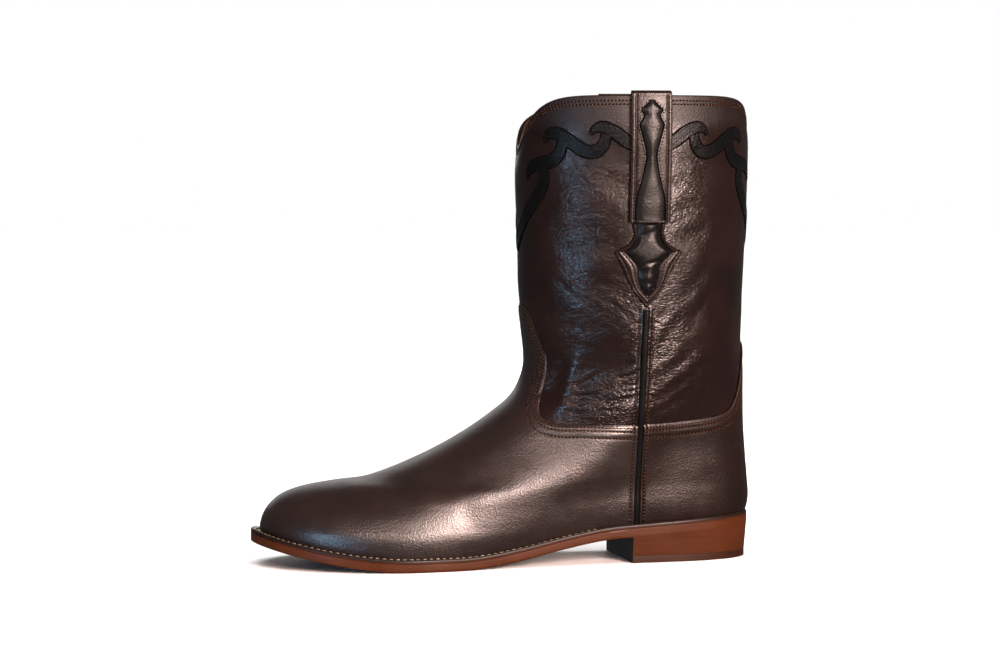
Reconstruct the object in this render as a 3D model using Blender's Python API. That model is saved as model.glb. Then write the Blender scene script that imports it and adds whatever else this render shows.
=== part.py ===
"""Left western boot in a low roper style, standing empty on its sole.

Sizes are in millimetres. Toe towards -X, outer side towards -Y, floor at z = 0.
One function of the last gives every curved piece: rings run round the foot from the
feather edge, where the upper meets the sole, up to the collar.
"""
from collections import namedtuple
import math

import bmesh
import bpy
import numpy as np

# Driving sizes
MM = 0.001
HEEL_BACK = 155.0
GAP = 0.3
OVERLAY_GAP = 0.6
WALL = 2.0
OVERLAY = 1.2
OUTSOLE = 5.0
WELT = 2.4
INSOLE = 3.0
SOLE_LENGTH = 307.0
TOE_SPRING = 14.6
SEAT_BACK = 20.6
SEAT_FRONT = 15.7
SEAT_LENGTH = 84.0
BALL_BACK = 188.0
BALL_FRONT = 216.0
CAP = 4.6
HEEL_TAPER = 1.5
BREAST_OUTER = 78.5
BREAST_INNER = 81.5
COLLAR = 283.5
FRONT_DIP = 38.7
BACK_DIP = 25.0
DIP_ROUND = 0.10
SEAM_TOP = 69.5
SEAM_LEAN = 0.0265
SEAM_FOOT = 74.5
PIPE_HALF = 1.9
PIPE_HIGH = 2.3
STRAP_HALF = 12.2
STRAP_LOW = 207.0
STRAP_THICK = 1.8
STRAP_LIFT = 1.2
STRAP_RISE = 0.6
SCROLL_LOW = 0.4
SCROLL_HIGH = 0.9
SCROLL_CENTRE = 95.6

# Rings of the last, from the feather edge to the collar. toe and heel give where a ring
# crosses the middle line, x forward from the back of the heel. sole is the ring's share
# of the sole's own curve, swing its share of the foot's sideways curve. The last five
# columns are half widths at the heel's back, heel, waist, ball and toe.
Ring = namedtuple("Ring", "toe_x toe_z heel_x heel_z sole swing back heel waist ball toe")
RINGS = (
    Ring(298.6, 17.6, 4.2, 25.8, 1.00, 1.00, 47, 33.0, 33.0, 54.0, 64.0),
    Ring(299.8, 23.0, 2.2, 31.0, 0.97, 1.00, 50, 34.5, 34.8, 55.0, 65.0),
    Ring(298.4, 30.0, 1.2, 35.5, 0.90, 1.00, 51, 35.5, 36.2, 55.0, 64.0),
    Ring(294.6, 36.3, 1.0, 40.0, 0.80, 1.00, 51, 36.0, 36.8, 53.0, 61.0),
    Ring(287.6, 41.8, 1.3, 44.0, 0.68, 1.00, 51, 36.0, 37.0, 50.5, 56.0),
    Ring(276.0, 46.1, 1.7, 48.5, 0.54, 1.00, 50, 36.0, 37.0, 48.0, 49.0),
    Ring(258.0, 49.1, 2.1, 53.5, 0.40, 1.00, 49, 36.0, 36.8, 45.8, 47.0),
    Ring(238.0, 51.2, 2.7, 59.5, 0.28, 1.00, 48, 36.0, 36.6, 43.8, 49.0),
    Ring(219.0, 57.3, 3.3, 66.5, 0.18, 1.00, 46, 36.0, 36.4, 41.2, 49.5),
    Ring(199.5, 65.6, 3.9, 74.5, 0.10, 0.95, 44, 36.0, 36.4, 39.0, 47.0),
    Ring(180.0, 75.7, 4.4, 83.0, 0.04, 0.90, 43, 36.5, 36.8, 38.2, 44.0),
    Ring(162.5, 86.8, 4.7, 92.0, 0.00, 0.80, 42, 37.5, 37.8, 38.8, 42.5),
    Ring(150.0, 97.8, 4.9, 101.5, 0.0, 0.65, 42, 39.0, 39.5, 40.5, 43.0),
    Ring(143.5, 110.0, 5.0, 112.5, 0.0, 0.45, 43, 41.5, 42.0, 42.3, 43.0),
    Ring(141.0, 124.0, 5.0, 125.0, 0.0, 0.25, 45, 44.0, 44.3, 44.5, 44.0),
    Ring(142.0, 143.0, 4.8, 143.5, 0.0, 0.10, 48, 46.5, 46.6, 46.5, 46.0),
    Ring(143.8, 172.0, 3.6, 172.5, 0.0, 0.00, 50, 48.5, 48.5, 48.5, 48.0),
    Ring(144.3, 212.0, 1.8, 213.0, 0.0, 0.00, 51, 49.5, 49.2, 49.5, 50.0),
    Ring(145.6, 250.0, 0.2, 261.0, 0.0, 0.00, 51, 49.5, 49.2, 49.5, 50.0),
)
LEVELS = np.linspace(0.0, 1.0, len(RINGS))
TABLE = np.array(RINGS, dtype=float)
STATIONS = (0.0, 0.25, 0.5, 0.75, 1.0)
SWING = (0.0, -0.5, -4.5, 0.5, 3.5)

# Width of welt that shows round the upper, by degrees from the heel's back
WeltWidth = namedtuple("WeltWidth", "degrees width")
WELT_WIDTHS = (
    WeltWidth(0, 1.9),
    WeltWidth(40, 2.4),
    WeltWidth(70, 3.0),
    WeltWidth(100, 4.0),
    WeltWidth(125, 6.0),
    WeltWidth(150, 6.4),
    WeltWidth(180, 6.2),
)

# Upper edges of the two overlays, by degrees from the heel's back
Edge = namedtuple("Edge", "degrees z")
VAMP_EDGE = (
    Edge(80, 84.4),
    Edge(108, 85.2),
    Edge(120, 85.6),
    Edge(127, 87.2),
    Edge(133, 90.0),
    Edge(139, 94.0),
    Edge(144, 99.5),
    Edge(148, 110.0),
    Edge(150, 125.0),
    Edge(155.5, 134.0),
    Edge(161, 147.5),
    Edge(170, 155.0),
    Edge(180, 157.0),
)
COUNTER_EDGE = (
    Edge(0, 133.0),
    Edge(6, 130.5),
    Edge(12, 120.5),
    Edge(20, 106.0),
    Edge(26, 97.7),
    Edge(31, 92.8),
    Edge(40, 89.0),
    Edge(53, 87.0),
    Edge(66, 85.8),
    Edge(92, 84.6),
)

# Flat figures on the leg: half width at a height
Figure = namedtuple("Figure", "z rim middle")
SPADE = (
    Figure(206.0, 10.6, 7.4),
    Figure(197.5, 9.8, 7.6),
    Figure(193.5, 13.0, 9.6),
    Figure(189.3, 20.8, 14.6),
    Figure(181.0, 16.2, 7.0),
    Figure(172.5, 12.0, 5.8),
    Figure(166.5, 8.8, 3.4),
    Figure(163.4, 6.6, 0.3),
)
SPADE_TIP = 155.7
Pin = namedtuple("Pin", "z half")
STRAP_PIN = (
    Pin(208.0, 9.0),
    Pin(214.5, 9.1),
    Pin(222.0, 8.4),
    Pin(236.0, 5.0),
    Pin(248.0, 3.5),
    Pin(257.0, 5.6),
    Pin(264.7, 7.7),
    Pin(270.4, 4.9),
    Pin(273.7, 6.9),
    Pin(279.8, 0.3),
)

# Running wave: four tapering strokes for a quarter of the leg, out from the side seam
Stroke = namedtuple("Stroke", "out z half")
WAVE = (
    (
        Stroke(3.0, 250.5, 3.3),
        Stroke(14.0, 255.0, 3.5),
        Stroke(22.0, 260.6, 3.4),
        Stroke(29.0, 263.6, 3.0),
        Stroke(33.6, 262.4, 1.9),
        Stroke(36.4, 259.2, 0.3),
    ),
    (
        Stroke(27.0, 259.0, 2.6),
        Stroke(28.6, 253.2, 3.1),
        Stroke(33.0, 249.0, 3.4),
        Stroke(40.0, 249.6, 3.4),
        Stroke(48.5, 254.8, 3.4),
        Stroke(56.5, 259.6, 3.2),
        Stroke(62.5, 259.6, 2.4),
        Stroke(66.3, 255.0, 0.3),
    ),
    (
        Stroke(53.6, 256.4, 2.4),
        Stroke(54.8, 249.6, 3.1),
        Stroke(59.6, 244.0, 3.4),
        Stroke(67.5, 241.8, 3.4),
        Stroke(75.0, 240.4, 2.8),
        Stroke(79.6, 237.0, 1.8),
        Stroke(81.6, 232.4, 0.3),
    ),
    (
        Stroke(66.8, 240.0, 2.4),
        Stroke(66.0, 232.5, 3.1),
        Stroke(68.6, 225.5, 3.4),
        Stroke(75.0, 217.6, 3.4),
        Stroke(83.0, 208.5, 3.3),
        Stroke(90.0, 199.6, 3.2),
        Stroke(96.4, 190.6, 2.6),
    ),
)

# Columns of points by degrees from the heel's back, and the rings of the upper's wall
ANGLES = (
    0, 5, 11, 18, 26, 34, 43, 52, 60, 68, 76, 84,
    92, 100, 108, 116, 124, 132, 140, 148, 156, 164, 172, 180,
)
VAMP_COLUMNS = (
    80, 92, 99, 106, 113, 119, 125, 131, 137, 142,
    146, 148.5, 150.5, 154, 158, 163, 169, 174.5, 180,
)
COUNTER_COLUMNS = 0, 4, 8, 13, 19, 26, 34, 44, 56, 69, 92
UPPER_RINGS = (
    0, 1, 2, 3, 4, 5, 6, 7, 8, 9, 10, 11,
    11.5, 12, 12.5, 13, 13.5, 14, 15, 16, 17, 18,
)

# Leathers: colour, roughness
BROWN = (0.052, 0.022, 0.014), 0.34
BLACK = (0.012, 0.011, 0.012), 0.28
SOLE_TAN = (0.235, 0.082, 0.032), 0.40
WELT_DARK = (0.045, 0.025, 0.017), 0.50
LINING = (0.33, 0.20, 0.11), 0.60
CAP_BROWN = (0.15, 0.055, 0.026), 0.50


# Curves through tables
def through(knots, values, at):
    """Smooth curve through the values at the knots."""
    knots = np.asarray(knots, float)
    values = np.asarray(values, float)
    at = np.asarray(at, float)
    slopes = np.gradient(values, knots, axis=0)
    i = np.clip(np.searchsorted(knots, at, side="right") - 1, 0, len(knots) - 2)
    span = knots[i + 1] - knots[i]
    s = (at - knots[i]) / span
    if values.ndim > 1:
        span = span[..., None]
        s = s[..., None]
    ease = s * s * (3 - 2 * s)
    bow = span * s * (1 - s) * (slopes[i] * (1 - s) - slopes[i + 1] * s)
    return values[i] * (1 - ease) + values[i + 1] * ease + bow


def resampled(rows, count):
    """The table's rows as a smooth run of count rows."""
    knots = np.arange(len(rows), dtype=float)
    return through(knots, np.array(rows, float), np.linspace(0, len(rows) - 1, count))


# The sole's underside and the collar's edge
def sole_under(forward):
    """Height of the outsole's underside at a distance forward of the heel's back."""
    forward = np.asarray(forward, float)
    slope = (SEAT_BACK - SEAT_FRONT) / SEAT_LENGTH
    seat = SEAT_BACK - slope * forward
    reach = BALL_BACK - SEAT_LENGTH
    s = np.clip((BALL_BACK - forward) / reach, 0, 1)
    arch = SEAT_FRONT * s * s * (3 - 2 * s) - slope * reach * s * s * (1 - s)
    k = np.clip((forward - BALL_FRONT) / (SOLE_LENGTH - BALL_FRONT), 0, None)
    toe = TOE_SPRING * k ** 1.75
    return np.where(forward < SEAT_LENGTH, seat, np.where(forward < BALL_BACK, arch, toe))


def collar_height(angle):
    """Height of the collar's edge, dipping in front and behind."""
    side = np.clip(1 - np.sqrt(np.sin(angle) ** 2 + DIP_ROUND ** 2), 0, None)
    dip = np.where(np.cos(angle) < 0, FRONT_DIP * side ** 1.9, BACK_DIP * side ** 3.2)
    return COLLAR - dip


# The last
def last_point(turn, level):
    """Point of the upper's outside. turn: 0 back, 0.25 outer side, 0.5 toe."""
    turn, level = np.broadcast_arrays(np.asarray(turn, float), np.asarray(level, float))
    angle = 2 * math.pi * turn
    along = (1 - np.cos(angle)) / 2
    ring = through(LEVELS, TABLE, level)
    toe_x, toe_z, heel_x, heel_z, sole, swing = np.moveaxis(ring[..., :6], -1, 0)
    foot, top = RINGS[0], RINGS[-1]
    forward = heel_x + (toe_x - heel_x) * along
    z = heel_z + (toe_z - heel_z) * along
    feather = sole_under(foot.heel_x + (foot.toe_x - foot.heel_x) * along) + OUTSOLE + GAP
    z = z + sole * (feather - foot.heel_z - (foot.toe_z - foot.heel_z) * along)
    rise = np.clip((level - LEVELS[-3]) / (1 - LEVELS[-3]), 0, 1) ** 1.5
    z = z + rise * (collar_height(angle) - top.heel_z - (top.toe_z - top.heel_z) * along)
    half = np.sum(through(STATIONS, np.eye(5), along) * ring[..., 6:], axis=-1)
    y = swing * through(STATIONS, SWING, along) - np.sin(angle) * half
    return np.stack([HEEL_BACK - forward, y, z], axis=-1)


def skin(turn, level, height):
    """Point at a height off the upper's outside; along the sole at the feather edge."""
    step = 1e-4
    turn, level, height = np.broadcast_arrays(turn, level, height)
    level = np.asarray(level, float)
    around = last_point(turn + step, level) - last_point(turn - step, level)
    low = np.clip(level - step, 0, 1)
    high = np.clip(level + step, 0, 1)
    normal = np.cross(last_point(turn, high) - last_point(turn, low), around)
    normal /= np.linalg.norm(normal, axis=-1, keepdims=True)
    ease = np.clip(level / 0.05, 0, 1)
    normal[..., 2] *= ease
    normal /= np.linalg.norm(normal, axis=-1, keepdims=True)
    base = last_point(turn, level)
    points = base + np.asarray(height, float)[..., None] * normal
    follow = sole_under(HEEL_BACK - points[..., 0]) - sole_under(HEEL_BACK - base[..., 0])
    points[..., 2] += (1 - ease) * follow
    return points


def level_at(turn, z):
    """Level where the upper's outside reaches a height."""
    turn, z = np.broadcast_arrays(np.asarray(turn, float), np.asarray(z, float))
    low = np.zeros(turn.shape)
    high = np.ones(turn.shape)
    for _ in range(34):
        middle = (low + high) / 2
        under = last_point(turn, middle)[..., 2] < z
        low = np.where(under, middle, low)
        high = np.where(under, high, middle)
    return (low + high) / 2


# Side seams
def seam_turn(level, side):
    """Turn of the side seam: side 1 outer, -1 inner."""
    ring = through(LEVELS, TABLE, level)
    toe_x, toe_z, heel_x, heel_z = np.moveaxis(ring[..., :4], -1, 0)
    drop = np.maximum(COLLAR - (toe_z + heel_z) / 2, 0)
    forward = np.minimum(SEAM_TOP + SEAM_LEAN * drop, SEAM_FOOT)
    angle = np.arccos(1 - 2 * (forward - heel_x) / (toe_x - heel_x))
    turn = angle / (2 * math.pi)
    return turn if side > 0 else 1 - turn


def turn_from_seam(level, out, side):
    """Turn that lies a length round the ring from the seam, forward positive."""
    level, out = np.broadcast_arrays(np.asarray(level, float), np.asarray(out, float))
    shape = out.shape
    level, out = level.ravel(), out.ravel()
    start = seam_turn(level, side)
    end = np.where(out > 0, 0.56, -0.06)
    if side < 0:
        end = 1 - end
    turns = start[:, None] + (end - start)[:, None] * np.linspace(0, 1, 90)
    points = last_point(turns, level[:, None])
    steps = np.linalg.norm(np.diff(points, axis=1), axis=2)
    lengths = np.insert(np.cumsum(steps, axis=1), 0, 0, axis=1)
    k = np.clip((lengths < np.abs(out)[:, None]).sum(axis=1) - 1, 0, 88)
    row = np.arange(len(k))
    part = (np.abs(out) - lengths[row, k]) / steps[row, k]
    turn = turns[row, k] + part * (turns[row, k + 1] - turns[row, k])
    return turn.reshape(shape)


def wrapped(out, z, height, side):
    """Points on the leg: out round from the seam, at a height z, off the leather."""
    out, z, height = np.broadcast_arrays(out, np.asarray(z, float), height)
    level = level_at(seam_turn(0.9, side), z)
    for _ in range(3):
        turn = turn_from_seam(level, out, side)
        level = level_at(turn, z)
    points = skin(turn, level, height)
    points[..., 2] += np.maximum(z - collar_height(2 * math.pi * turn), 0)
    return points


# Closed solids
def face_outward(build):
    """Turn every face of a closed body outward."""
    bmesh.ops.recalc_face_normals(build, faces=build.faces[:])
    if build.calc_volume(signed=True) < 0:
        bmesh.ops.reverse_faces(build, faces=build.faces[:])


def solid(name, points, faces, leather):
    """One closed body from points and faces."""
    colour, rough = leather
    build = bmesh.new()
    made = [build.verts.new(point) for point in np.asarray(points) * MM]
    for face in faces:
        build.faces.new([made[k] for k in face])
    bmesh.ops.remove_doubles(build, verts=build.verts[:], dist=0.000002)
    bmesh.ops.dissolve_degenerate(build, edges=build.edges[:], dist=0.000001)
    face_outward(build)
    mesh = bpy.data.meshes.new(name)
    build.to_mesh(mesh)
    build.free()
    material = bpy.data.materials.new(name + "_leather")
    material.use_nodes = True
    shader = material.node_tree.nodes["Principled BSDF"]
    shader.inputs["Base Color"].default_value = (*colour, 1.0)
    shader.inputs["Roughness"].default_value = rough
    shader.inputs["Metallic"].default_value = 0.0
    mesh.materials.append(material)
    body = bpy.data.objects.new(name, mesh)
    bpy.context.scene.collection.objects.link(body)
    return body


def lofted(loops, cyclic=False, caps=None):
    """Faces through closed loops: cyclic joins last to first, caps close the ends."""
    loops = np.asarray(loops)
    count, size = loops.shape[:2]
    faces = []
    for i in range(count if cyclic else count - 1):
        for j in range(size):
            a = i * size + j
            b = i * size + (j + 1) % size
            shift = ((i + 1) % count - i) * size
            faces.append((a, b, b + shift, a + shift))
    for first in (0, (count - 1) * size) if caps else ():
        if caps == "flat":
            faces.append(tuple(range(first, first + size)))
            continue
        for j in range(size // 2):
            quad = (j, j + 1, (size - j - 1) % size, (size - j) % size)
            faces.append(tuple(first + k for k in dict.fromkeys(quad)))
    return loops.reshape(-1, 3), faces


def panel(outer, inner):
    """Closed sheet between two matching grids of points."""
    rows, columns = outer.shape[:2]
    points = np.concatenate([outer.reshape(-1, 3), inner.reshape(-1, 3)])
    grid = np.arange(rows * columns).reshape(rows, columns)
    back = grid + rows * columns
    faces = []
    for i in range(rows - 1):
        for j in range(columns - 1):
            for side in (grid, back):
                faces.append((side[i, j], side[i, j + 1], side[i + 1, j + 1], side[i + 1, j]))
    rim = [(0, j) for j in range(columns)]
    rim += [(i, columns - 1) for i in range(1, rows)]
    rim += [(rows - 1, j) for j in range(columns - 2, -1, -1)]
    rim += [(i, 0) for i in range(rows - 2, 0, -1)]
    for a, b in zip(rim, rim[1:] + rim[:1]):
        faces.append((grid[a], grid[b], back[b], back[a]))
    return points, faces


def whole_turns(angles):
    """Turns once round the foot from the angles of one side."""
    half = np.array(angles, float) / 360
    return np.concatenate([half, 1 - half[-2:0:-1]])


# Sole, heel and insole
def sole_edge(turn):
    """Outline of the outsole: the lasted upper and the width of welt round it."""
    degrees = 180 - np.abs(180 - np.asarray(turn, float) * 360)
    widths = np.array(WELT_WIDTHS, float)
    margin = through(widths[:, 0], widths[:, 1], degrees)
    return skin(turn, 0.0, OVERLAY_GAP + OVERLAY + GAP + margin)


def sole_ring(turns, inset, rise):
    """Loop of the sole's edge, drawn in by inset and lifted off the underside."""
    edge = sole_edge(turns)
    inward = sole_edge(turns) - skin(turns, 0.0, 0.0)
    inward /= np.linalg.norm(inward, axis=1, keepdims=True)
    loop = edge - inset * inward
    loop[:, 2] = sole_under(HEEL_BACK - edge[:, 0]) + rise
    return loop


def make_sole():
    """Outsole, welt and insole."""
    turns = whole_turns(ANGLES)
    loops = [
        sole_ring(turns, 0.9, 0.0),
        sole_ring(turns, 0.0, 0.8),
        sole_ring(turns, 0.0, OUTSOLE),
    ]
    solid("outsole", *lofted(loops, caps="across"), SOLE_TAN)
    foot = skin(turns, 0.0, 0.0)[:, 2]
    close = OVERLAY_GAP + OVERLAY + 2 * GAP
    top = skin(turns, level_at(turns, foot + WELT), close)
    top[:, 2] = foot + WELT
    low = OUTSOLE + GAP
    loops = [
        skin(turns, 0.0, close),
        sole_ring(turns, 0.1, low),
        sole_ring(turns, 0.1, low + WELT - 0.7),
        sole_ring(turns, 0.8, low + WELT),
        top,
    ]
    solid("welt", *lofted(loops, cyclic=True), WELT_DARK)
    low = skin(turns, 0.0, -WALL - GAP)
    top = skin(turns, level_at(turns, low[:, 2] + INSOLE), -WALL - 2 * GAP)
    top[:, 2] = low[:, 2] + INSOLE
    loops = [low, top]
    solid("insole", *lofted(loops, caps="across"), LINING)


def breast_turn(side):
    """Turn where the sole's edge passes the heel's breast."""
    goal = HEEL_BACK - (BREAST_OUTER if side > 0 else BREAST_INNER)
    low, high = 0.02, 0.25
    for _ in range(30):
        middle = (low + high) / 2
        spot = sole_edge(middle if side > 0 else 1 - middle)
        low, high = (middle, high) if spot[0] > goal else (low, middle)
    return low


def make_heel():
    """Heel stack with its slanting top, and the cap that stands on the floor."""
    outer, inner = breast_turn(1), breast_turn(-1)
    turns = np.concatenate([np.linspace(outer, 0, 11), 1 - np.linspace(0, inner, 11)[1:]])

    def loop(inset, z):
        ring = sole_ring(turns, inset, 0.0)
        ring[:, 2] = sole_under(HEEL_BACK - ring[:, 0]) - GAP if z is None else z
        return ring

    low = loop(HEEL_TAPER, CAP + GAP)
    solid("heel_stack", *lofted([low, loop(0.3, None)], caps="flat"), SOLE_TAN)
    loops = [loop(HEEL_TAPER + 0.6, 0.0), loop(HEEL_TAPER, 0.6), loop(HEEL_TAPER, CAP)]
    solid("heel_cap", *lofted(loops, caps="flat"), CAP_BROWN)


# Upper and its overlays
def make_upper():
    """Lasted wall of the leg and foot, open at the collar and underneath."""
    turns = whole_turns(ANGLES)
    levels = through(np.arange(len(LEVELS)), LEVELS, UPPER_RINGS)
    outside = [skin(turns, level, 0.0) for level in levels]
    inside = [skin(turns, level, -WALL) for level in levels[::-1]]
    rim = skin(turns, 1.0, -WALL / 2)
    rim[:, 2] += 0.5
    solid("upper", *lofted(outside + [rim] + inside, cyclic=True), BROWN)


def seam_border(side, out):
    """Turn by level of a line beside the seam."""
    levels = np.linspace(0, 1, 41)
    turns = turn_from_seam(levels, out, side)
    return lambda level: np.interp(level, levels, turns)


def overlay(edge, middle, out, columns, rows, bias):
    """Sheet from seam to seam under an upper edge, over the toe or round the heel."""
    knots = np.array([point.degrees for point in edge], float)
    heights = np.array([point.z for point in edge], float)
    grids = []
    for side in (1, -1):
        border = seam_border(side, out)
        centre = middle if side > 0 else 1 - middle
        strips = []
        for degrees in columns:
            turn = degrees / 360 if side > 0 else 1 - degrees / 360
            top = float(level_at(turn, through(knots, heights, degrees)))
            share = np.clip((turn - border(top)) / (centre - border(top)), 0, 1)
            low = float(level_at(turn, last_point(turn, 0.0)[2] + 2 * GAP))
            level = low + (top - low) * np.linspace(0, 1, rows) ** bias
            strips.append(np.stack([border(level) + share * (centre - border(level)), level]))
        grids.append(np.array(strips))
    outer, inner = grids
    if middle == 0:
        outer, inner = outer[::-1], inner[::-1]
        inner[..., 0, :] -= 1
    field = np.concatenate([outer, inner[-2::-1]])
    turn, level = field[:, 0].T, field[:, 1].T
    top = skin(turn, level, OVERLAY_GAP + OVERLAY)
    return panel(top, skin(turn, level, OVERLAY_GAP))


def make_overlays():
    """Vamp with its tongue, and counter with its point."""
    clear = PIPE_HALF + GAP
    solid("vamp", *overlay(VAMP_EDGE, 0.5, clear, VAMP_COLUMNS, 17, 1.2), BROWN)
    solid("counter", *overlay(COUNTER_EDGE, 0.0, -clear, COUNTER_COLUMNS, 11, 1.3), BROWN)


# Pieces of the leg
def make_piping(side, word):
    """Half-round bead over the side seam, from the welt to the spade's tip."""
    low = last_point(seam_turn(0.0, side), 0.0)[2] + WELT + 2 * GAP
    z = np.linspace(low, SPADE_TIP - 1.0, 13)
    level = np.full(len(z), 0.5)
    for _ in range(8):
        level = level_at(seam_turn(level, side), z)
    angles = np.linspace(0, math.pi, 6)
    turns = turn_from_seam(level[:, None], PIPE_HALF * np.cos(angles), side)
    loops = skin(turns, level[:, None], GAP + PIPE_HIGH * np.sin(angles))
    solid("side_piping_" + word, *lofted(loops, caps="flat"), BLACK)


def make_strap(side, word):
    """Pull strap folded over the collar, with an outer and an inner leaf."""
    mid_out = STRAP_LIFT + STRAP_THICK / 2
    mid_in = -WALL - GAP - STRAP_THICK / 2
    centre, reach = (mid_out + mid_in) / 2, (mid_out - mid_in) / 2
    base = COLLAR + 0.2
    path = [(mid_out, z, 1.0, 0.0) for z in np.linspace(STRAP_LOW, base, 7)]
    for angle in np.radians((30, 60, 90, 120, 150)):
        over = base + (STRAP_RISE + STRAP_THICK / 2) * math.sin(angle)
        path.append((centre + reach * math.cos(angle), over, math.cos(angle), math.sin(angle)))
    path += [(mid_in, z, -1.0, 0.0) for z in np.linspace(base, STRAP_LOW, 6)]
    height, z, off, up = np.array(path).T[..., None]
    outs = np.linspace(-STRAP_HALF, STRAP_HALF, 5)
    faces = []
    for half in (STRAP_THICK / 2, -STRAP_THICK / 2):
        faces.append(wrapped(outs, z + half * up, height + half * off, side))
    solid("pull_strap_" + word, *panel(*faces), BROWN)


def figure(rows, side, low, high, puff):
    """Padded figure: rows of height and half width, raised along its middle."""
    z, half = np.array(rows, float).T[..., None]
    across = np.linspace(-1, 1, 5)
    lift = puff * (1 - across ** 2) * np.minimum(half / 6, 1)
    top = wrapped(half * across, z, high + lift, side)
    return panel(top, wrapped(half * across, z, low, side))


def make_spade(side, word):
    """Stitched rim and padded middle of the spade under a strap."""
    left = [(-row.rim, row.z, -row.middle, row.z) for row in SPADE[:-1]]
    tip = [(0.0, SPADE_TIP, 0.0, SPADE[-1].z)]
    right = [(-a, z, -b, z) for a, z, b, _ in left[::-1]]
    rim_out, rim_z, out, z = np.array(left + tip + right).T[..., None]
    share = np.linspace(0, 1, 3)
    out = rim_out + (out - rim_out) * share
    z = rim_z + (z - rim_z) * share
    grids = [wrapped(out, z, height, side) for height in (GAP + OVERLAY, GAP)]
    solid("spade_rim_" + word, *panel(*grids), BROWN)
    rows = [(row.z, row.middle - GAP) for row in SPADE[:-1]]
    rows.append((SPADE[-1].z + 2 * GAP, 0.1))
    solid("spade_inlay_" + word, *figure(rows, side, GAP, 1.0, 1.4), BLACK)


def make_pin(side, word):
    """Padded black figure on the strap's outer leaf."""
    base = STRAP_LIFT + STRAP_THICK + GAP
    solid("strap_inlay_" + word, *figure(STRAP_PIN, side, base, base + 0.4, 0.7), BLACK)


def flat_stroke(stroke, hand, word):
    """One tapering stroke of the wave, laid flat: across, height, thickness."""
    rows = resampled(stroke, 8)
    path = np.gradient(rows[:, :2], axis=0)
    path /= np.linalg.norm(path, axis=1, keepdims=True)
    sides = np.stack([-path[:, 1], path[:, 0]], axis=1) * np.maximum(rows[:, 2:], 0.25)
    flat = np.stack([rows[:, :2] - sides, rows[:, :2] + sides], axis=1)
    flat[..., 0] = hand * (SCROLL_CENTRE - flat[..., 0])
    grids = [np.insert(flat, 2, height, axis=2) for height in (SCROLL_LOW, SCROLL_HIGH)]
    return solid(word, *panel(*grids), BLACK)


def make_scroll(front, word):
    """Running wave over half the leg, joined flat and wrapped round it."""
    name = "collar_scroll_" + word
    pieces = [flat_stroke(stroke, hand, name) for hand in (1, -1) for stroke in WAVE]
    body = pieces[0]
    bpy.context.view_layer.objects.active = body
    for piece in pieces[1:]:
        join = body.modifiers.new("join", "BOOLEAN")
        join.operation = "UNION"
        join.solver = "EXACT"
        join.object = piece
        bpy.ops.object.modifier_apply(modifier=join.name)
        bpy.data.objects.remove(piece)
    body.name = name
    build = bmesh.new()
    build.from_mesh(body.data)
    build.verts.ensure_lookup_table()
    spots = np.array([vertex.co for vertex in build.verts]) / MM
    out = SCROLL_CENTRE - np.abs(spots[:, 0])
    for side in (1, -1):
        mine = np.flatnonzero(spots[:, 0] * side >= 0)
        across = out[mine] if front else -out[mine]
        points = wrapped(across, spots[mine, 1], spots[mine, 2], side) * MM
        for k, point in zip(mine, points):
            build.verts[k].co = point
    face_outward(build)
    build.to_mesh(body.data)
    build.free()


def centre_on_floor():
    """Move the boot so that its box stands centred on the origin."""
    bodies = list(bpy.context.scene.objects)
    spots = np.concatenate([[v.co for v in body.data.vertices] for body in bodies])
    middle = (spots.max(axis=0) + spots.min(axis=0)) / 2
    for body in bodies:
        for vertex in body.data.vertices:
            vertex.co.x -= middle[0]
            vertex.co.y -= middle[1]


for old in list(bpy.data.objects):
    bpy.data.objects.remove(old)
make_sole()
make_heel()
make_upper()
make_overlays()
for hand, word in ((1, "outer"), (-1, "inner")):
    make_piping(hand, word)
    make_strap(hand, word)
    make_pin(hand, word)
    make_spade(hand, word)
make_scroll(True, "front")
make_scroll(False, "back")
centre_on_floor()
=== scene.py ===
"""Looks of a left western boot in a low roper style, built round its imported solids.

Sizes are in millimetres on the last. Toe towards -X, outer side towards -Y, floor at z = 0.
Each leather is cut as a flat grid, laid on the last by one function, and then sewn.
"""
from collections import namedtuple
import math

import bpy
import numpy as np
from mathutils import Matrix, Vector


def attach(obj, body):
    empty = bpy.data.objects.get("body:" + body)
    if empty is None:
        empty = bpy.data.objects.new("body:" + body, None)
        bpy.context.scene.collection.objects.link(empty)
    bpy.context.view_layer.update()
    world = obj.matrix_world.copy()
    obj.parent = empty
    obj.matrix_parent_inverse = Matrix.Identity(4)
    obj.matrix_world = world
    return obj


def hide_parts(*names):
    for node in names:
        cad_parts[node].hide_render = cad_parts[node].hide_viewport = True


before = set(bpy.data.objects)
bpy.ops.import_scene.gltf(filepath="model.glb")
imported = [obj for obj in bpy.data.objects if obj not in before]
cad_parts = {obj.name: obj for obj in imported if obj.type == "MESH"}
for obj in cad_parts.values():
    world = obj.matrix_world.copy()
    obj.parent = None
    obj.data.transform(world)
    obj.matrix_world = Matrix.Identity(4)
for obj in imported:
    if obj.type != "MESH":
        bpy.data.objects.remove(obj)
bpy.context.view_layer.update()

# A millimetre in metres, and a small step of turn or level
MM = 0.001
TINY = 1e-4

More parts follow.
